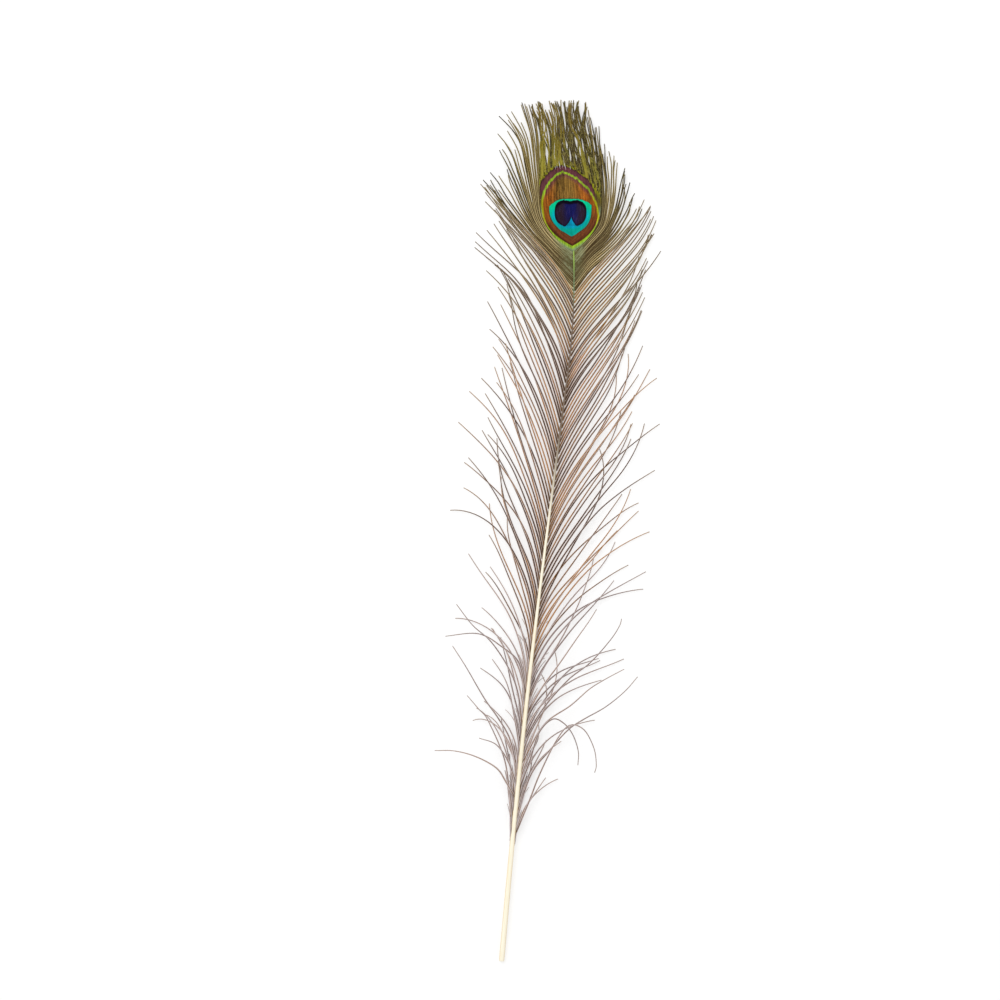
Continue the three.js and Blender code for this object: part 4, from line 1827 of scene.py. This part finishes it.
# ---------------------------------------------------------------- the room
@dataclass
class Studio:
    """A plain pale floor, even light, and a camera that looks straight down."""

    look_at: tuple[float, float] = (-18.05, 9.13)  # in millimetres, in the row frame
    plane: float = 2.5  # height of the feather's plane, in millimetres
    field: float = 346.0  # width of that plane in the picture, in millimetres
    distance: float = 1500.0
    sensor: float = 36.0
    floor_size: float = 30.0
    floor_glow: float = 0.55
    sky_strength: float = 0.82
    lamp_place: tuple[float, float, float] = (-0.5, 0.6, 1.2)  # in metres
    lamp_size: float = 1.2
    lamp_energy: float = 9.0
    turn: float = 5.315  # degrees that the camera is turned to the left

    def build(self) -> None:
        """Makes the floor, the lights and the camera."""
        self._floor()
        self._lights()
        self._camera()
        bpy.context.scene.view_settings.view_transform = "Standard"

    def _floor(self) -> None:
        """A white sheet that glows a little, so that it takes no hard shade."""
        bpy.ops.mesh.primitive_plane_add(size=self.floor_size, location=(0, 0, 0))
        floor = bpy.context.object
        floor.name = "floor"
        sheet = NodeSheet("studio_floor")
        grain = sheet.grain(sheet.objects(), 30.0)
        base = sheet.blend(grain * 0.06, paint(176, 176, 176), paint(168, 168, 168))
        floor.data.materials.append(sheet.finish(
            base, Roughness=0.9, Specular_IOR_Level=0.1, Emission_Color=(1.0, 1.0, 1.0, 1.0),
            Emission_Strength=self.floor_glow,
        ))

    def _lights(self) -> None:
        """An even white sky and one large soft lamp."""
        world = bpy.data.worlds.new("studio_sky")
        world.use_nodes = True
        sky = world.node_tree.nodes["Background"]
        sky.inputs["Color"].default_value = (1.0, 1.0, 1.0, 1.0)
        sky.inputs["Strength"].default_value = self.sky_strength
        bpy.context.scene.world = world
        lamp = bpy.data.lights.new("soft_lamp", "AREA")
        lamp.shape, lamp.size, lamp.energy = "DISK", self.lamp_size, self.lamp_energy
        holder = bpy.data.objects.new("soft_lamp", lamp)
        holder.location = self.lamp_place
        holder.rotation_euler = holder.location.to_track_quat("Z", "Y").to_euler()
        bpy.context.scene.collection.objects.link(holder)

    def _camera(self) -> None:
        """A long lens over the feather, turned so that the feather leans to the right."""
        camera = bpy.data.cameras.new("camera")
        camera.sensor_width = self.sensor
        camera.lens = self.sensor * self.distance / self.field
        camera.clip_start, camera.clip_end = 0.05, 100.0
        holder = bpy.data.objects.new("camera", camera)
        holder.location = Vector((*self.look_at, self.distance + self.plane)) * MM
        holder.rotation_euler = (0.0, 0.0, math.radians(self.turn))
        bpy.context.scene.collection.objects.link(holder)
        bpy.context.scene.camera = holder


def main() -> None:
    """Builds the feather piece by piece, then the room."""
    logging.basicConfig(level=logging.INFO, format="%(name)s: %(message)s")
    bpy.ops.object.select_all(action="DESELECT")
    line = ShaftLine.from_frame()
    Studio().build()

    shaft = Shaft(line)
    shaft.dress(shaft.build())

    vane_form = BarbForm(0.40, 0.20, 0.5, 0.16, 0.10, angle=38, segments=30, web=0.85)
    stray_form = BarbForm(0.26, 0.13, 0.50, 0.18, 0.09, angle=40, segments=30, web=0.85)
    copper = LooseBarbFinish("feather_copper_barbs").dress(line)
    grey = LooseBarbFinish(
        "feather_grey_barbs", ramus_pale=paint(166, 132, 100), ramus_dark=paint(100, 74, 56),
        fringe=paint(218, 208, 208), fringe_dark=paint(188, 174, 172), tip=paint(172, 150, 136),
    ).dress(line)
    plans = (
        (Side.LEFT, LEFT_STATIONS, LEFT_CLUMPS, STRAY_LEFT_STATIONS, LEFT_WISPS),
        (Side.RIGHT, RIGHT_STATIONS, RIGHT_CLUMPS, STRAY_RIGHT_STATIONS, RIGHT_WISPS),
    )
    for seed, (side, stations, clumps, stray_stations, wisps) in enumerate(plans, start=7):
        vane = LooseBarbs(f"{side.word}_vane_barbs", side, line, stations, clumps, vane_form, seed)
        vane.dress(vane.build(), copper, "copper_barbs", [f"{side.word}_vane"])
        stray = StrayBarbs(
            f"{side.word}_stray_barbs", side, line, stray_stations, (), stray_form, seed + 10, wisps=wisps
        )
        nodes = [f"{side.word}_wisp_{count + 1}" for count in range(len(wisps))]
        stray.dress(stray.build(), grey, "grey_barbs", nodes)

    crown = EyeAndCrest(line)
    crown.dress(*crown.build())


if __name__ == "__main__":
    main()
